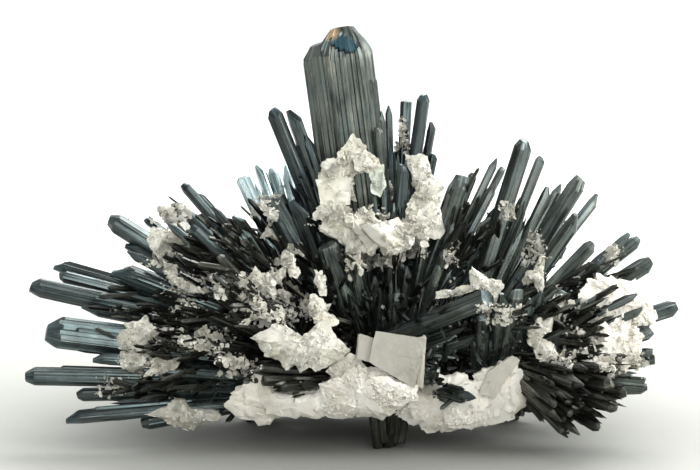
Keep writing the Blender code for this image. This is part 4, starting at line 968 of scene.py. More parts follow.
def baryte(name, white, cream, grey, clear=0.6):
    """Baryte: white to cream from the fine flaws between its plates, waxy to pearly where a
    plate is smooth and sparkling where it is granular. Light enters it about a millimetre, so
    thin rims glow, and the layered rims, with whole tablets at random, are painted lighter too: a
    painted glow. The clear parts, in a haze and in whole plates, let the light through."""
    material, shader = new_material(name)
    add = partial(add_node, material)
    place = add("TexCoord", "Object", {})
    cloud = add("TexNoise", "Fac", {"Vector": place, "Scale": CLOUDS / MM, "Detail": 4.0, "Roughness": 0.6})
    grit = add("TexNoise", "Fac", {"Vector": place, "Scale": GRIT / MM, "Detail": 3.0, "Roughness": 0.65})
    body = add("ValToRGB", "Color", {"Fac": cloud}, ((0.3, grey), (0.44, cream), (0.56, white)))
    tone = add("Attribute", "Fac", {}, attribute_name="tone")
    rim = add("Attribute", "Fac", {}, attribute_name="rim")
    sugar = add("Attribute", "Fac", {}, attribute_name="sugar")
    level = add("MapRange", "Result", {"Value": tone, "To Min": 0.88, "To Max": 1.04})
    limits = {"From Min": 0.3, "From Max": 0.6, "To Min": 0.72, "To Max": 1.0}
    speck = add("MapRange", "Result", {"Value": grit, **limits})
    grainy = add("MapRange", "Result", {"Value": sugar, "To Min": 0.25, "To Max": 1.0})
    powdered = add("VectorMath", "Vector", {0: body, 1: speck}, operation="MULTIPLY")
    dusted = add("Mix", "Result", {"Factor": grainy, "A": body, "B": powdered}, data_type="RGBA")
    graded = add("VectorMath", "Vector", {0: dusted, 1: level}, operation="MULTIPLY")
    # Painted glow: rims, and whole tablets at random, are mixed towards a bright white.
    bright = add("Math", "Value", {0: rim, 1: 0.6}, operation="MULTIPLY")
    painted_rim_glow = {"Factor": bright, "A": graded, "B": linear("#f3eee0")}
    painted_rim_glow = add("Mix", "Result", painted_rim_glow, data_type="RGBA")
    rough = add("MapRange", "Result", {"Value": sugar, "To Min": 0.42, "To Max": 0.6})
    strength = add("MapRange", "Result", {"Value": sugar, "To Min": 0.12, "To Max": 0.7})
    bump = add("Bump", "Normal", {"Height": grit, "Strength": strength, "Distance": GRIT_DEPTH * MM})
    haze = add("TexNoise", "Fac", {"Vector": place, "Scale": HAZE / MM, "Detail": 4.0, "Roughness": 0.65})
    limits = {"From Min": 0.47, "From Max": 0.6, "To Max": clear}
    window = add("MapRange", "Result", {"Value": haze, **limits})
    limits = {"From Min": 0.35, "From Max": 0.05, "To Max": clear}
    glassy = add("MapRange", "Result", {"Value": tone, **limits})
    through = add("Math", "Value", {0: window, 1: glassy}, operation="MAXIMUM")
    set_inputs(shader, {"Base Color": painted_rim_glow, "Roughness": rough, "Normal": bump, "IOR": 1.64})
    set_inputs(shader, {"Transmission Weight": through, "Subsurface Weight": 0.12})
    set_inputs(shader, {"Subsurface Radius": (1.0, 0.9, 0.75), "Subsurface Scale": GLOW_DEPTH * MM})
    return material


# Smooth flat plates: an even, greyish, pearly white, greyer than the other baryte: painted shade, for
# plates that lie in shade.
pearly_shaded_baryte = baryte("pearly_shaded_white_baryte", "#a9a79b", "#a09e91", "#8d8b7e", clear=0.12)

baryte_tile = [
    ((8.9, -23.4, 19.7), 0.7, 0.9, 1.0, -5, 6,
     [(-4.1, 4.9), (5.6, 3.6), (4.6, -0.8), (3.4, -5.9), (-1.2, -3.4), (-5.4, -1.0)]),
    ((13.7, -23.1, 19.6), 0.4, 0.8, 1.0, 38, 6, [(0.3, 4.2), (1.0, 3.8), (-0.6, -6.0), (-1.5, -5.7)]),
    ((3.0, -22.8, 21.0), 0.4, 1.6, 1.0, 14, 4, [(-1.3, 3.2), (2.0, 2.0), (2.6, -2.8), (-1.9, -1.9)]),
]
tile = crusts(baryte_tile, 101, sugar=0.0, tooth=0.12, shingle=0.05, grains=0.0, blades=0)
piece("square_tile", tile, pearly_shaded_baryte, "baryte", "baryte_tile")

# ---- Crown crust ----
# The baryte grown on the foot of the great blade: sugary above, a smooth plate below, and a
# thin greenish plate at its right that the dark prisms behind show through. Smaller sugary
# crusts join it to the collar below.

# Granular: the many small faces scatter the light, so it is white.
white_baryte = baryte("granular_white_baryte", "#e7e5d8", "#d7d4c3", "#b1af9e")
# With few flaws: nearly clear, with a greenish cast.
glassy_baryte = baryte("glassy_greenish_baryte", "#dfe4d6", "#cbd2c2", "#a5ac9c", clear=0.8)
CRUST_SHARP = 42  # waxy: the low steps between a crust's plates are rounded

baryte_crown = [
    ((-1.8, -3.6, 52.0), 2.6, 2.6, 0.4, 0, 6,
     [(-3.1, -6.7), (3.3, -5.3), (3.9, 1.6), (6.1, 2.4), (7.8, 3.2), (5.9, 5.5), (3.9, 7.5), (2.0, 8.3),
      (0, 6.7), (-1.2, 4.5), (-4.3, 3.4), (-5.9, 0.2), (-4.7, -2.4)]),
    ((5.2, -5.2, 51.0), 0.5, 0.7, 1.0, -8, 6,
     [(-1.9, 3.4), (1.6, 3.8), (2.0, -1.2), (1.0, -3.4), (-1.3, -2.4)]),
]
crown_plates = [
    ((-3.2, -6.4, 48.8), 0.5, 2.4, 0.9, -4, 4,
     [(-3.6, 2.9), (0.4, 3.6), (3.6, 3.4), (3.4, -2.1), (0.2, -2.6), (-2.4, -3.4)]),
    ((3.6, -5.8, 54.6), 1.0, 2.0, 0.5, 0, 8,
     [(-3.4, 1.6), (-0.6, 2.4), (2.4, 1.4), (3.0, -0.8), (0.6, -1.8), (-2.6, -1.6)]),
    ((-3.4, -7.6, 45.4), 1.2, 2.4, 0.5, 0, 14,
     [(-3.6, 0.8), (-1.0, 2.0), (2.6, 1.8), (4.4, 0.4), (2.4, -1.8), (-1.4, -2.0), (-4.0, -1.2)]),
]
rng = np.random.default_rng(102)
crown = joined([
    crust(baryte_crown[0], rng, sugar=1.0, tooth=1.4, shingle=0.9, blades=6),
    crust(crown_plates[0], rng, sugar=0.15, tooth=0.25, shingle=0.25, blades=0),
    crust(crown_plates[1], rng, sugar=1.0, tooth=0.8, shingle=0.5, blades=5),
    crust(crown_plates[2], rng, sugar=1.0, tooth=0.8, shingle=0.5, blades=5),
])
piece("crown_crust", crown, white_baryte, "baryte", "baryte_crown", sharp=CRUST_SHARP)
thin = crust(baryte_crown[1], rng, sugar=0.1, tooth=0.5, shingle=0.2, blades=1)
piece("greenish_crown_plate", thin, glassy_baryte, "baryte")

# ---- Shoulder crust ----
# The tall baryte crust right of the crown, with a jagged edge, grown over the lower part of the
# prisms there.


def crust_piece(name, node, material, seed, forms, **settings):
    """The piece of baryte, one or more crusts of one kind, that stands for a node."""
    piece(name, crusts(forms, seed, **settings), material, "baryte", node, sharp=CRUST_SHARP)


crust_piece("shoulder_crust", "baryte_shoulder", white_baryte, 103, [
    ((14.8, -3.6, 47.9), 2.4, 4.4, 0.5, 0, 14,
     [(-4.3, 8.9), (0.4, 9.1), (1.4, 5.8), (4.1, 2.2), (3.1, -1.6), (4.1, -7.1), (2.4, -8.9),
      (-0.8, -8.5), (-4.5, -5.2), (-3.3, -1.0), (-2.4, 3.4)]),
], sugar=0.6)

# ---- Collar crust ----
# The broad collar of jagged baryte plates grown round the front under the crown, a smaller
# sugary crust at its right end, and two thin smooth plates that lie across it.

baryte_collar = [
    ((3.5, -8.4, 41.2), 3.0, 3.4, 0.4, 0, 22,
     [(-8.5, 3.7), (-5.4, 2.7), (-3.1, 3.5), (-1.0, 5.5), (1.7, 3.5), (4.1, 2.3), (6.2, 3.4),
      (9.7, -0.8), (8.1, -3.7), (5.2, -5.0), (2.6, -2.9), (1.4, -5.0), (-1.6, -4.3), (-4.3, -4.9),
      (-6.0, -1.4), (-9.7, 0.4)]),
]
collar_plates = [
    ((12.8, -6.8, 41.8), 1.4, 3.0, 0.5, 0, 14,
     [(-3.8, 1.8), (-0.6, 3.0), (3.0, 2.6), (4.0, -0.6), (2.2, -2.8), (-1.4, -2.6), (-4.2, -1.0)]),
    ((1.2, -12.2, 42.4), 0.4, 0.6, 1.0, -8, 12, [(-3.6, 3.4), (-2.4, 4.0), (3.6, -2.6), (2.6, -3.6)]),
    ((4.6, -12.4, 41.2), 0.4, 0.6, 1.0, 14, 26,
     [(-2.6, 2.2), (-1.0, 2.6), (3.2, -1.4), (1.8, -2.4), (-0.4, -0.8)]),
]
rng = np.random.default_rng(104)
collar = joined([
    crust(baryte_collar[0], rng, sugar=0.5),
    crust(collar_plates[0], rng, sugar=0.9, blades=6),
])
piece("collar_crust", collar, white_baryte, "baryte", "baryte_collar", sharp=CRUST_SHARP)
across = joined([
    crust(form, rng, sugar=0.0, tooth=0.15, shingle=0.08, blades=0) for form in collar_plates[1:]
])
piece("thin_plates_across_collar", across, pearly_shaded_baryte, "baryte")

# ---- Left front crusts ----
# Baryte grown on the tips of the inner fan: two small crusts among the upper left prisms, two
# left of the heart, and the bright lumpy one left of the middle, whose sugary grains glint.

crust_piece("upper_left_crusts", "baryte_left_upper", white_baryte, 105, [
    ((-17.7, -12.6, 32.6), 2.2, 2.8, 0.4, 0, 20,
     [(-0.4, 3.1), (1.0, 2.2), (1.9, 1.2), (5.4, 2.3), (5.8, 1.0), (3.1, -1.0), (2.9, -2.5),
      (0.8, -1.9), (-0.4, -4.1), (-1.9, -3.5), (-3.5, -1.4), (-3.1, 0.4), (-1.9, 1.7)]),
    ((-10.8, -13.0, 34.9), 1.6, 2.6, 0.5, 0, 10,
     [(-0.4, 3.1), (0.4, 1.6), (1.7, -0.4), (1.0, -2.1), (-0.8, -1.7), (-2.0, 0.4), (-2.3, 3.3)]),
])

crust_piece("middle_crusts", "baryte_middle", white_baryte, 106, [
    ((-5.6, -14.6, 32.3), 1.8, 2.8, 0.5, 0, 10,
     [(-1.4, 3.5), (0.3, 3.2), (1.2, 1.3), (1.9, -1.1), (1.3, -2.9), (-0.3, -3.1), (-1.4, -1.1),
      (-2.2, 0.6)]),
    ((-5.5, -16.4, 27.2), 1.8, 3.0, 0.5, 0, 10,
     [(-2.7, 3.9), (-1.2, 3.7), (0.3, 2.7), (2.7, 2.1), (1.6, -0.2), (3.9, -1.9), (2.9, -3.1),
      (-1.2, -3.1), (-2.7, 0)]),
])

crust_piece("left_lump", "baryte_left_lump", white_baryte, 107, [
    ((-8.9, -21.0, 20.8), 3.2, 5.0, 0.35, 0, 8,
     [(-10.0, 2.1), (-7.7, 3.6), (-6.6, 5.3), (-3.4, 4.9), (-0.6, 3.2), (2.3, 4.8), (5.1, 5.7),
      (6.2, 3.2), (9.8, 0), (7.9, -2.3), (2.8, -5.1), (1.7, -4.2), (-0.4, -5.3), (-1.9, -4.0),
      (-4.1, -4.4), (-5.1, -2.3), (-7.7, -1.5)]),
])

# ---- Low front prisms ----
# Short dark prisms of stibnite that show in the gap between the lump and the base crust; their
# roots are deep in the spray.

low_front_prisms = [
    ((-18.6, -23.0, 17.4), (-4, -15, 15.0), 2.6, 2.2, 10, "slant"),
    ((-16.6, -24.2, 15.2), (-3, -15, 13.5), 2.4, 2.0, 40, "flat"),
    ((-13.0, -25.0, 14.0), (-2, -15, 13.0), 2.2, 1.8, 0, "blunt"),
    ((-9.0, -25.0, 14.2), (-1, -15, 13.0), 1.8, 1.6, 20, "point"),
    ((-20.4, -20.6, 14.6), (-6, -13, 13.0), 1.8, 1.6, 0, "blunt"),
]
low = bundle(low_front_prisms, 207, knot=2.0, slim=30, reach=(0.6, 1.0), beside=False, bits=30)
piece("low_front_prisms", low, sooty_stibnite, "stibnite")

# ---- Left base crust ----
# The baryte of the base under the left and the middle, grown on the front of the root mass:
# smooth waxy plates at the left, sugary at the right, with a jagged lower edge.

# Fine and dense: a smooth, warm, waxy white. It is lighter than the granular baryte: painted light, for
# crust faces that get little light.
waxy_brightened_baryte = baryte("waxy_brightened_white_baryte", "#f4f1e6", "#ebe6d8", "#cfccbd", clear=0.15)

baryte_base_left = [
    ((-14.3, -18.6, 10.5), 2.4, 5.0, 0.4, 0, -14,
     [(-4.4, 6.9), (-1.7, 6.5), (-1.0, 4.2), (0.2, 2.7), (3.8, 3.4), (8.2, 4.2), (11.4, 3.2),
      (11.4, -1.9), (8.2, -1.7), (5.5, -2.7), (1.0, -3.8), (-3.8, -5.9), (-5.3, -4.4), (-9.7, -1.7),
      (-10.5, -0.4), (-7.6, 2.9)]),
    ((2.3, -20.6, 12.2), 3.4, 6.0, 0.4, 0, -8,
     [(-8.4, 2.5), (-4.4, 3.8), (-2.3, 6.3), (-0.4, 6.9), (1.3, 5.7), (4.4, 4.8), (7.2, 1.5),
      (10.3, -1.0), (6.3, -3.6), (4.2, -5.0), (2.3, -5.3), (-1.0, -4.8), (-4.4, -5.0), (-6.8, -4.4),
      (-8.7, -3.4)]),
]
base_left_plates = [
    ((-9.6, -20.8, 10.4), 1.6, 4.0, 0.4, 0, -10,
     [(-8.0, 1.2), (-4.5, 2.2), (0, 2.0), (4.0, 2.6), (8.0, 4.0), (8.5, -1.5), (4.0, -3.2),
      (-1.0, -3.0), (-6.5, -2.4)]),
    ((7.6, -23.2, 13.2), 2.2, 4.0, 0.4, -6, -2,
     [(-6.0, 0.6), (-3.6, 3.2), (-0.8, 3.4), (2.4, 2.0), (6.2, 1.4), (6.0, -1.6), (2.0, -3.2),
      (-2.4, -3.0), (-5.2, -1.8)]),
    ((-1.2, -19.8, 16.6), 1.4, 3.0, 0.5, 0, 4,
     [(-3.8, -0.4), (-2.2, 1.6), (0.6, 3.4), (3.4, 2.6), (3.6, -1.4), (1.0, -2.8), (-2.6, -2.2)]),
]
rng = np.random.default_rng(108)
base = joined([
    crust(baryte_base_left[0], rng, sugar=0.1, shingle=0.3, blades=2.0),
    crust(base_left_plates[0], rng, sugar=0.1, tooth=0.7, shingle=0.25, blades=1.0),
    crust(baryte_base_left[1], rng, sugar=0.5, shingle=0.35, blades=3.0),
    crust(base_left_plates[1], rng, sugar=1.0, tooth=0.8, shingle=0.5, blades=3.0),
    crust(base_left_plates[2], rng, sugar=0.6, tooth=0.8, shingle=0.3, blades=3.0),
])
piece("left_base_crust", base, waxy_brightened_baryte, "baryte", "baryte_base_left", sharp=CRUST_SHARP)

# ---- Right base crust ----
# The baryte of the base under the right: two waxy plates that meet at a step, a more sugary
# one over the step, and two thin smooth plates that lie on them.

baryte_base_right = [
    ((17.1, -17.0, 9.6), 2.4, 4.4, 0.35, -4, -10,
     [(-3.6, 5.8), (0.6, 6.7), (5.7, 6.3), (7.2, 1.0), (5.1, -5.6), (1.0, -6.7), (-3.0, -5.8),
      (-7.6, -3.6), (-10.3, -2.3), (-8.4, 0.6), (-5.1, 3.5)]),
    ((28.6, -18.2, 11.9), 2.0, 4.4, 0.35, 4, -6,
     [(-5.7, 3.5), (-3.4, 5.4), (0, 6.3), (2.9, 7.1), (6.5, 2.9), (5.9, -1.7), (3.2, -5.2),
      (-1.5, -6.5), (-5.7, -7.5), (-5.3, -2.3)]),
]
base_right_plates = [
    ((22.4, -19.2, 9.6), 1.4, 4.0, 0.4, 0, -8,
     [(-4.6, 3.4), (-1.0, 5.2), (3.6, 5.6), (4.8, 0), (4.2, -4.4), (0, -5.0), (-4.0, -4.4),
      (-5.0, -0.5)]),
    ((27.6, -21.0, 15.2), 0.4, 1.4, 1.0, 10, 2,
     [(-3.4, -3.2), (-1.4, 1.2), (3.4, 4.4), (5.0, 3.4), (1.8, -1.0), (0, -4.2)]),
    ((15.4, -20.6, 14.4), 0.3, 1.0, 1.0, -14, -4,
     [(-2.6, 2.6), (-0.6, 1.6), (2.8, -1.8), (-0.8, -2.8), (-3.0, -1.0)]),
]
rng = np.random.default_rng(109)
base = joined([
    *(crust(form, rng, sugar=0.12, shingle=0.3, blades=2.0) for form in baryte_base_right),
    crust(base_right_plates[0], rng, sugar=0.5, tooth=0.7, shingle=0.3, blades=3.0),
])
piece("right_base_crust", base, waxy_brightened_baryte, "baryte", "baryte_base_right", sharp=CRUST_SHARP)
across = joined([
    crust(form, rng, sugar=0.0, tooth=0.3, shingle=0.1, blades=0) for form in base_right_plates[1:]
])
piece("thin_plates_on_right_base", across, pearly_shaded_baryte, "baryte")

# ---- Right front crusts ----
# Baryte grown on the right-hand prisms: thin jagged plates over the stout front prism, two
# small bright crusts above the lower right tuft, and a thin upright sliver between prisms.

crust_piece("right_blade_crust", "baryte_right_blades", white_baryte, 110, [
    ((25.4, -16.2, 32.8), 2.0, 3.4, 0.45, 0, 10,
     [(-3.1, 1.7), (-2.5, 3.3), (-0.4, 2.5), (1.7, 0.6), (4.1, 0.6), (4.8, -1.4), (3.5, -2.7),
      (3.3, -5.0), (1.5, -4.5), (0.4, -1.7), (-2.7, -1.9)]),
    ((19.9, -14.2, 30.6), 1.8, 4.4, 0.6, 0, 10,
     [(-4.0, 0.2), (1.3, 1.7), (3.5, 1.8), (3.9, 0.2), (0, -0.9), (-3.6, -1.4)]),
])

crust_piece("right_cluster", "baryte_right_cluster", white_baryte, 111, [
    ((36.1, -18.6, 23.7), 1.6, 2.8, 0.4, 8, 4,
     [(-1.7, 2.1), (0, 3.2), (1.4, 2.9), (2.6, 3.0), (2.8, 0), (1.0, -1.3), (-0.6, -3.9), (-2.5, -2.9),
      (-3.2, -0.8)]),
    ((37.6, -18.4, 19.4), 1.5, 3.2, 0.5, 8, 0,
     [(-2.2, 3.4), (0.4, 3.6), (2.0, 2.8), (2.2, 0.2), (1.8, -3.6), (0.3, -4.0), (-1.5, -2.5),
      (-2.7, -0.6)]),
])

crust_piece("right_sliver", "baryte_right_sliver", white_baryte, 112, [
    ((36.6, -8.4, 33.3), 1.2, 4.6, 0.5, 0, 6,
     [(0.2, 4.1), (1.4, 2.7), (1.0, 0.6), (1.5, -2.9), (0.6, -4.5), (-0.8, -3.3), (-1.4, -2.0),
      (-3.1, -2.3), (-3.5, -1.4), (-1.5, 1.4)]),
])

# ---- Right wall ----
# The large baryte crust that ends the right side, of five that have grown together, with
# prisms and needles of stibnite that lie in it and come out of it.

crust_piece("right_wall", "baryte_right_wall", waxy_brightened_baryte, 113, [
    ((53.3, -4.4, 26.8), 3.4, 4.4, 0.3, 14, 14,
     [(-10.8, -1.4), (-9.6, 2.6), (-5.5, 6.5), (-2.9, 5.9), (-0.6, 5.9), (3.1, 5.1), (3.7, 3.4),
      (6.3, 1.6), (5.9, -0.4), (6.9, -2.6), (6.1, -4.9), (3.5, -6.5), (-2.0, -5.9), (-6.3, -4.9),
      (-9.0, -3.9)]),
    ((51.7, -6.6, 17.3), 3.2, 4.0, 0.35, 14, -6,
     [(-6.5, 2.6), (-4.7, 4.5), (-0.4, 4.1), (5.1, 3.6), (5.7, 2.4), (5.5, 0.6), (6.1, -0.8),
      (4.3, -3.0), (2.9, -4.5), (2.0, -5.3), (-2.4, -6.1), (-4.1, -6.9), (-5.9, -4.5), (-6.3, -1.6),
      (-4.5, -0.3)]),
    ((51.0, -10.4, 20.2), 2.0, 4.0, 0.35, 14, 6,
     [(-7.5, -1.5), (-6.0, 2.5), (-2.0, 4.6), (2.5, 5.6), (6.0, 3.6), (6.6, 0), (5.6, -3.6),
      (2.0, -5.4), (-3.0, -5.6), (-6.0, -4.4)]),
    ((45.0, -12.6, 15.6), 1.2, 3.0, 0.5, 10, 0,
     [(-4.0, 0.4), (-1.0, 1.8), (3.0, 1.6), (4.4, 0), (2.0, -1.6), (-2.6, -1.8)]),
    ((47.4, -17.4, 17.0), 1.6, 3.0, 0.45, 16, 0,
     [(-6.0, -0.6), (-3.5, 1.6), (0.5, 2.4), (4.0, 1.8), (6.4, 0.2), (4.0, -1.8), (0.5, -1.2),
      (-3.0, -2.4)]),
], tooth=1.6, blades=8)
wall_prisms = [
    ((56.0, -9.0, 29.6), (34, -5, 17.5), 1.8, 1.4, 0, "point"),
    ((57.0, -10.2, 26.6), (34, -6, 16.0), 2.0, 1.6, 20, "slant"),
    ((52.0, -10.0, 31.4), (33, -5, 18.5), 1.4, 1.2, 40, "chisel"),
    ((58.8, -8.4, 22.6), (36, -6, 15.5), 2.6, 2.2, 10, "blunt"),
    ((57.8, -9.4, 12.0), (37, -7, 13.5), 2.4, 2.0, 0, "flat"),
    ((43.0, -16.0, 16.4), (36, -10, 15.5), 4.4, 3.4, 20, "blunt"),
    ((47.0, -12.6, 23.6), (34, -8, 17.0), 2.2, 1.6, 0, "point"),
    ((59.6, -6.0, 17.6), (38, -5, 15.0), 2.0, 1.6, 0, "chisel"),
]
through = bundle(wall_prisms, 213, knot=2.0, slim=60, reach=(0.5, 0.95), beside=False, bits=60)
piece("prisms_through_right_wall", through, dull_stibnite, "stibnite")

# ---- Crusts of the left side ----
# Baryte grown on the stout left prisms, a narrow strip between two of them, a thin pale plate
# on the long ones, a crust high on the left, a low one under the left prisms, and a small
# rhombic plate left of the crown.

crust_piece("left_crust", "baryte_left_crust", white_baryte, 114, [
    ((-40.7, -10.8, 21.1), 2.4, 3.2, 0.4, -6, 10,
     [(-5.2, -1.4), (-3.9, 1.6), (-3.1, 3.1), (-1.0, 3.9), (1.2, 5.1), (2.1, 3.9), (3.9, 1.4), (4.3, 0),
      (3.5, -1.8), (4.1, -3.5), (1.9, -3.5), (-4.7, -2.7)]),
    ((-36.0, -14.0, 16.2), 1.4, 2.8, 0.5, 0, 6,
     [(-2.3, 1.4), (0.2, 2.7), (2.7, 2.6), (5.6, 2.5), (3.6, 0.8), (2.5, -1.0), (0.2, -1.7),
      (-4.6, -2.5), (-2.9, -0.8)]),
])

crust_piece("left_strip", "baryte_left_strip", white_baryte, 115, [
    ((-28.4, -13.4, 21.6), 1.3, 2.6, 0.5, 0, 12,
     [(0.8, 3.3), (1.5, 1.4), (4.4, 0.4), (2.3, -0.8), (-2.3, -2.3), (-4.1, -2.3), (-3.9, -1.3),
      (-2.1, -0.4), (-1.7, 1.5)]),
])

crust_piece("left_plate", "baryte_left_plate", white_baryte, 116, [
    ((-34.4, -4.8, 31.8), 0.9, 3.2, 0.6, 0, 18,
     [(-2.5, 3.7), (0.2, 2.2), (0.8, 0.4), (4.1, -1.2), (6.2, -2.6), (4.5, -3.2), (-1.4, -1.2),
      (-2.1, 0.2)]),
])

crust_piece("high_left_crust", "baryte_upper_left", white_baryte, 117, [
    ((-36.0, -3.6, 39.6), 2.4, 5.6, 0.4, 0, 34,
     [(-3.8, -0.6), (-3.2, 2.0), (-0.4, 2.0), (0.8, 3.4), (2.4, 4.0), (5.1, 2.8), (5.1, 0.8),
      (3.2, 0.4), (1.6, -0.6), (0, -1.8), (-2.2, -3.6), (-3.4, -2.6)]),
])

crust_piece("left_foot_crust", "baryte_left_foot", white_baryte, 118, [
    ((-31.6, -14.6, 6.6), 1.8, 3.6, 0.4, -4, -10,
     [(-8.4, 0.4), (-4.0, 1.9), (-2.7, 3.3), (-0.4, 3.1), (1.2, 1.4), (4.4, 1.2), (7.7, 0.6),
      (6.7, -0.8), (4.0, -1.2), (1.2, -3.1), (-0.8, -3.3), (-3.3, -1.9), (-4.4, -0.5)]),
])

crust_piece("small_rhomb", "baryte_behind_crown", white_baryte, 119, [
    ((-16.0, -3.2, 41.0), 1.0, 2.4, 0.7, 0, 10,
     [(0, 2.2), (3.4, 0.2), (2.6, -2.4), (-1.8, -1.4), (-1.6, 0.6)]),
])

# ---- Crusts behind ----
# The back is a guess: baryte behind the crown like the collar in front, the base crust in two
# lobes with a bridge between them, and a crust at each end. All are sugary and rough.

ROUGH = {"sugar": 0.7, "tooth": 1.8, "shingle": 0.9, "blades": 8}
crust_piece("back_crown_crust", "baryte_back_crown", white_baryte, 120, [
    ((5.4, 11.4, 46.6), 3.2, 4.2, 0.4, 176, 18,
     [(-6.4, 0.6), (-4.6, 4.4), (-1.2, 6.2), (2.6, 5.0), (6.6, 2.4), (5.8, -2.0), (3.0, -5.4),
      (-2.2, -4.8), (-5.2, -3.4)]),
], **ROUGH)

crust_piece("back_base_crust", "baryte_back_base", white_baryte, 121, [
    ((-7.0, 22.0, 10.6), 3.4, 6.6, 0.35, 186, -8,
     [(-10.6, 1.4), (-7.0, 5.4), (-2.0, 6.6), (4.4, 5.6), (9.0, 3.0), (10.4, -1.6), (6.2, -5.2),
      (0.4, -6.2), (-6.2, -5.0), (-9.4, -2.4)]),
    ((11.4, 22.6, 12.0), 3.0, 6.4, 0.35, 172, -6,
     [(-9.2, -0.8), (-7.4, 4.0), (-2.6, 6.4), (3.8, 5.0), (8.4, 4.2), (9.6, -1.2), (4.8, -4.6),
      (-1.2, -6.4), (-6.4, -4.2)]),
    ((2.2, 22.4, 9.8), 2.0, 5.0, 0.4, 180, -10,
     [(-5.6, 1.0), (-3.0, 3.4), (1.0, 3.8), (4.6, 2.0), (5.4, -1.6), (1.4, -3.6), (-3.6, -3.2)]),
], grains=0.5, **ROUGH)

crust_piece("back_right_crust", "baryte_back_right", white_baryte, 122, [
    ((34.0, 17.0, 13.4), 3.0, 5.6, 0.35, 142, 8,
     [(-7.8, 0.8), (-5.2, 4.6), (-0.6, 6.2), (4.2, 4.4), (7.6, 1.2), (6.4, -3.2), (1.0, -5.4),
      (-4.8, -4.6)]),
], grains=0.5, **ROUGH)

crust_piece("back_left_crust", "baryte_back_left", white_baryte, 123, [
    ((-26.0, 15.6, 13.6), 3.0, 5.6, 0.35, 212, 8,
     [(-7.2, -0.8), (-5.8, 3.6), (-1.4, 5.8), (3.6, 4.6), (7.6, 1.0), (5.2, -3.4), (0.2, -5.0),
      (-4.6, -4.2)]),
], grains=0.5, **ROUGH)

# ---- White crumbs ----
# Small baryte crystals that settled on the stibnite after the crusts: dense where they fill the
# gaps between prisms, and scattered elsewhere. Each is a thin plate that stands on what it met.
# A spot's numbers are: its place, its half width and half height, the number of plates and the
# size of the largest.

host_points = np.concatenate([surface["points"] for surface in surfaces])
host_starts = np.cumsum([0] + [len(surface["points"]) for surface in surfaces[:-1]])
host_faces = [surface["faces"] + start for surface, start in zip(surfaces, host_starts)]
host_faces = np.concatenate(host_faces)
host = BVHTree.FromPolygons(host_points.tolist(), host_faces.tolist(), all_triangles=True)
DROP = 0.12  # how far the growing crystals came from above, for each millimetre towards the back
FROM = 90  # millimetres from a spot to where its lines start
HEAPS = 10  # in each spot
HEAP_SPREAD = 0.32  # as a share of the spot's half width and half height
LEAST = 0.3  # millimetres: the smallest plate


def settled(spots, way, seed):
    """Plates where lines along the way, through each spot's ellipse, first meet the specimen. They
    lie in a few heaps around random places in it, each highest in its middle, and are nearly
    parallel within a heap."""
    rng = np.random.default_rng(seed)
    way, right, up = axes_of(way)
    places, facing, sizes = [], [], []
    for middle, wide, high, count, largest in spots:
        around = rng.uniform(-0.8, 0.8, (HEAPS, 2))
        lie = rng.normal(0, 0.9, (HEAPS, 3))
        heap = rng.integers(0, HEAPS, count)
        off = rng.normal(0, HEAP_SPREAD, (count, 2))
        reach = around[heap] + off
        starts = np.array(middle) - FROM * way
        starts = starts + right * (wide * reach[:, :1]) + up * (high * reach[:, 1:])
        lift = rng.uniform(0, 0.5, count) * min(wide, high) * np.exp(-(off**2).sum(1) / 0.1)
        for start, raised, leaning in zip(starts, lift, lie[heap]):
            place, normal, _, _ = host.ray_cast(start, way)
            if place is not None:
                places.append(np.array(place) - raised * way)
                facing.append(np.array(normal) - way + leaning)
                sizes.append(rng.uniform(0, 1) ** 3 * 0.9 * (largest - LEAST) + LEAST)
    sizes = np.array(sizes)
    facing = unit(np.array(facing) + rng.normal(0, 0.5, (len(sizes), 3)))
    return tablets(np.array(places), facing, sizes, 0.1 + 0.1 * sizes, rng, stretch=1.15)


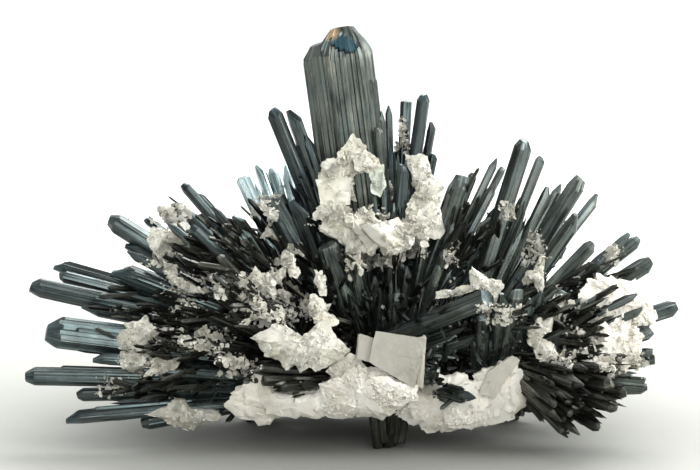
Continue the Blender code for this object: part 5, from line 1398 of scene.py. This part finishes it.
front_spots = [
    ((-36.3, -8, 45.7), 3.0, 2.4, 214, 2.2),
    ((-17.1, -4, 45.3), 2.6, 2.4, 181, 2.0),
    ((10.6, 2, 59.5), 1.2, 3.4, 148, 1.4),
    ((-36.9, -8, 36.0), 2.6, 2.4, 148, 1.8),
    ((-30.0, -10, 31.8), 6.0, 2.2, 313, 1.8),
    ((-22.0, -12, 31.8), 2.4, 2.4, 148, 2.0),
    ((-17.0, -13, 31.4), 4.2, 3.0, 429, 2.6),
    ((-11.6, -12, 36.0), 3.2, 2.4, 231, 2.2),
    ((2.3, -9, 36.0), 3.0, 2.0, 198, 2.0),
    ((7.2, -9, 36.7), 2.6, 2.0, 181, 2.0),
    ((11.6, -7, 37.6), 3.4, 2.6, 247, 2.4),
    ((-36.0, -12, 26.0), 4.0, 1.5, 148, 1.6),
    ((-31.0, -12, 27.5), 2.6, 1.4, 115, 1.5),
    ((-17.0, -16, 26.2), 3.6, 1.6, 181, 1.8),
    ((-15.0, -17, 28.4), 5.0, 3.0, 429, 2.2),
    ((0.0, -8, 44.4), 6.0, 2.0, 198, 2.2),
    ((12.5, -8, 42.0), 3.0, 2.4, 214, 2.2),
    ((-8.5, -18, 27.0), 3.0, 2.4, 198, 2.0),
    ((-12.6, -17, 26.2), 3.0, 1.8, 181, 1.8),
    ((26.6, -12, 26.6), 2.6, 1.7, 148, 1.6),
    ((31.0, -12, 26.2), 2.2, 1.8, 132, 1.6),
    ((40.7, -10, 26.6), 2.2, 3.0, 198, 2.0),
    ((45.6, -10, 21.1), 2.8, 2.2, 198, 2.0),
    ((40.7, -12, 18.4), 2.4, 1.4, 115, 2.0),
    ((50.8, -10, 16.4), 3.0, 1.6, 132, 2.0),
    ((56.6, -8, 15.4), 2.0, 1.8, 115, 1.8),
    ((-36.0, -12, 21.3), 3.0, 2.0, 181, 1.8),
    ((-31.0, -13, 21.3), 3.4, 2.0, 198, 1.8),
    ((-26.2, -14, 20.7), 3.0, 2.2, 198, 1.8),
    ((-40.7, -12, 16.4), 3.4, 2.4, 231, 2.2),
    ((-22.0, -16, 16.4), 3.6, 2.2, 214, 2.0),
    ((-46.2, -12, 12.0), 3.0, 1.4, 132, 1.6),
    ((53.0, -2, 36.0), 2.2, 1.8, 115, 1.8),
    ((31.4, -4, 45.7), 2.0, 1.8, 115, 1.5),
    ((36.0, -8, 38.0), 2.0, 3.0, 165, 1.8),
    ((20.5, -8, 36.5), 2.2, 3.4, 148, 1.4),
]
piece("white_crumbs_front", settled(front_spots, (0, 1, -DROP), 301), white_baryte, "baryte")

BACK_SPOTS = 30
rng = np.random.default_rng(303)
back_spots = [
    ((rng.uniform(-42, 48), 10, rng.uniform(14, 46)), rng.uniform(2, 6), rng.uniform(1.5, 4), 99, 2.0)
    for _ in range(BACK_SPOTS)
]
piece("white_crumbs_back", settled(back_spots, (0, -1, -DROP), 304), white_baryte, "baryte")

# ---- Dark splinters ----
# Broken needles of stibnite that stick out between the crumbs, dark and at odd angles, wherever
# the spray is a fine matrix. A spot's numbers are: its place, its half width and half height,
# and the number of needles.

SPLINTER_LENGTHS = (2.0, 6.5)
splinter_spots = [
    ((-34.0, -10, 23.0), 12.0, 8.0, 130),
    ((-29.0, -10, 34.4), 7.0, 5.0, 60),
    ((-13.6, -12, 30.4), 9.0, 7.0, 130),
    ((-36.8, -10, 11.9), 9.0, 3.0, 30),
    ((8.0, -10, 31.0), 9.0, 7.0, 26),
    ((43.6, -12, 23.6), 4.0, 5.0, 50),
    ((46.5, -8, 31.4), 6.0, 3.0, 30),
    ((22.0, -10, 38.0), 6.0, 8.0, 40),
    ((36.0, -10, 25.0), 6.0, 5.0, 30),
    ((-20.0, -10, 40.0), 8.0, 4.0, 40),
    ((0.0, -16, 24.0), 7.0, 4.0, 30),
]
is_dark = [np.full(len(surface["faces"]), "sugar" not in surface) for surface in surfaces]
is_dark = np.concatenate(is_dark)


def splinters(spots, way, seed):
    """Needles that stand where lines along the way, through each spot's ellipse, first meet
    stibnite, pointing outwards from the root mass, with most of their length in the open."""
    rng = np.random.default_rng(seed)
    way, right, up = axes_of(way)
    places = []
    for middle, wide, high, count in spots:
        starts = np.array(middle) - FROM * way + right * rng.normal(0, 0.5 * wide, (count, 1))
        starts = starts + up * rng.normal(0, 0.5 * high, (count, 1))
        hits = [host.ray_cast(start, way) for start in starts]
        places.extend(np.array(hit[0]) for hit in hits if hit[0] and is_dark[hit[2]])
    places = np.array(places)
    outward = unit(places - ROOT_MIDDLE) - 0.25 * way + rng.normal(0, 0.25, places.shape)
    run = unit(outward) * rng.uniform(*SPLINTER_LENGTHS, (len(places), 1))
    return needles(places + run, places - 0.35 * run, rng.uniform(*SLIM_WIDTHS, len(places)), rng)


dark = splinters(splinter_spots, (0, 1, -DROP), 305)
piece("dark_splinters", dark, sooty_stibnite, "stibnite")
BACK_SPLINTER_SPOTS = 9
rng = np.random.default_rng(307)
back_splinter_spots = [
    ((rng.uniform(-36, 40), 10, rng.uniform(14, 40)), rng.uniform(4, 9), rng.uniform(3, 6), 40)
    for _ in range(BACK_SPLINTER_SPOTS)
]
dark = splinters(back_splinter_spots, (0, -1, -DROP), 306)
piece("dark_splinters_behind", dark, sooty_stibnite, "stibnite")

# ---- Floor, lights and camera ----
# A pale matt table in a bright room: the light is broad and comes from above, brightest overhead
# and dim near the horizon, with one softbox behind the specimen, one in front, a weak fill from
# the right, and one over the far part of the table. The camera is a little above the specimen's
# middle, on a long lens.

TABLE_SIZE = 12  # metres
TABLE_GRAIN = 0.9  # repeats for each millimetre
TABLE_BUMPS = 0.2  # millimetres
# Its colour by the distance from the specimen's middle, in metres: dark near the specimen and white far
# off, a painted shadow.
TABLE_PAINTED_SHADOW = ((0.0, "#7b7c76"), (0.04, "#8c8d87"), (0.08, "#b4b5b0"), (0.3, "#e2e3e0"), (1.0, "#fdfdfd"))
matt_table, shader = new_material("matt_white_table")
add = partial(add_node, matt_table)
near = add("TexCoord", "Object", {})
away = add("VectorMath", "Value", {0: near}, operation="LENGTH")
grain = add("TexNoise", "Fac", {"Vector": near, "Scale": TABLE_GRAIN / MM})
# The painted shadow: the table darkens towards the specimen's middle.
painted_shadow_fade = add("ValToRGB", "Color", {"Fac": away}, TABLE_PAINTED_SHADOW)
bump = add("Bump", "Normal", {"Height": grain, "Strength": 0.05, "Distance": TABLE_BUMPS * MM})
set_inputs(shader, {"Base Color": painted_shadow_fade, "Normal": bump, "Roughness": 0.85})
bpy.ops.mesh.primitive_plane_add(size=TABLE_SIZE)
floor = bpy.context.object
floor.name = "table_top"
floor.data.materials.append(matt_table)

world = bpy.data.worlds.new("studio")
bpy.context.scene.world = world
world.use_nodes = True
# The light from the room, by how far up its direction points.
SKY = ((0.0, "#74787a"), (0.3, "#a8acae"), (0.62, "#f4f5f5"), (1.0, "#ffffff"))
add = partial(add_node, world)
height = add("SeparateXYZ", "Z", {"Vector": add("TexCoord", "Generated", {})})
glow = add("ValToRGB", "Color", {"Fac": height}, SKY)
limits = {"From Min": -0.9, "From Max": -0.15, "To Min": 0.45, "To Max": 1.0}
ahead = add("MapRange", "Result", {"Value": height.node.outputs["Y"], **limits})
room = add("VectorMath", "Vector", {0: glow, 1: ahead}, operation="MULTIPLY")
set_inputs(world.node_tree.nodes["Background"], {"Color": room, "Strength": 1.25})

# Each softbox: its name, place, what it faces, its width and height in metres, and its watts.
SOFTBOXES = (
    ("back_softbox", (0.3, 0.55, 0.7), (0, 0, 0.03), (0.9, 0.4), 9.5),
    ("right_fill", (0.6, -0.2, 0.35), (0, 0, 0.02), (0.4, 0.4), 3.5),
    ("front_softbox", (0.15, -1.1, 0.45), (0, 0, 0.03), (0.7, 0.6), 6.8),
    ("backdrop_light", (0, 3.4, 1.5), (0, 3.4, 0), (5.0, 3.0), 22.0),
)
for name, place, aim, size, power in SOFTBOXES:
    light = bpy.data.lights.new(name, "AREA")
    light.shape = "RECTANGLE"
    light.size, light.size_y = size
    light.energy = power
    softbox = bpy.data.objects.new(name, light)
    softbox.location = place
    away = Vector(place) - Vector(aim)
    softbox.rotation_euler = away.to_track_quat("Z", "Y").to_euler()
    bpy.context.scene.collection.objects.link(softbox)

CAMERA_AWAY = 0.462  # metres from the target
CAMERA_RISE = 7  # degrees above the horizon
CAMERA_LEVEL = 40.0  # millimetres from the table to the target
LENS = 120  # millimetres
target = np.array([-MIDDLE[0], -MIDDLE[1], CAMERA_LEVEL]) * MM
camera = bpy.data.objects.new("camera", bpy.data.cameras.new("camera"))
camera.data.lens = LENS
camera.data.clip_start = 0.01
rise = math.radians(CAMERA_RISE)
camera.location = target + CAMERA_AWAY * np.array([0, -math.cos(rise), math.sin(rise)])
camera.rotation_euler = (math.pi / 2 - rise, 0, 0)
bpy.context.scene.collection.objects.link(camera)
bpy.context.scene.camera = camera
bpy.context.scene.view_settings.view_transform = "Standard"
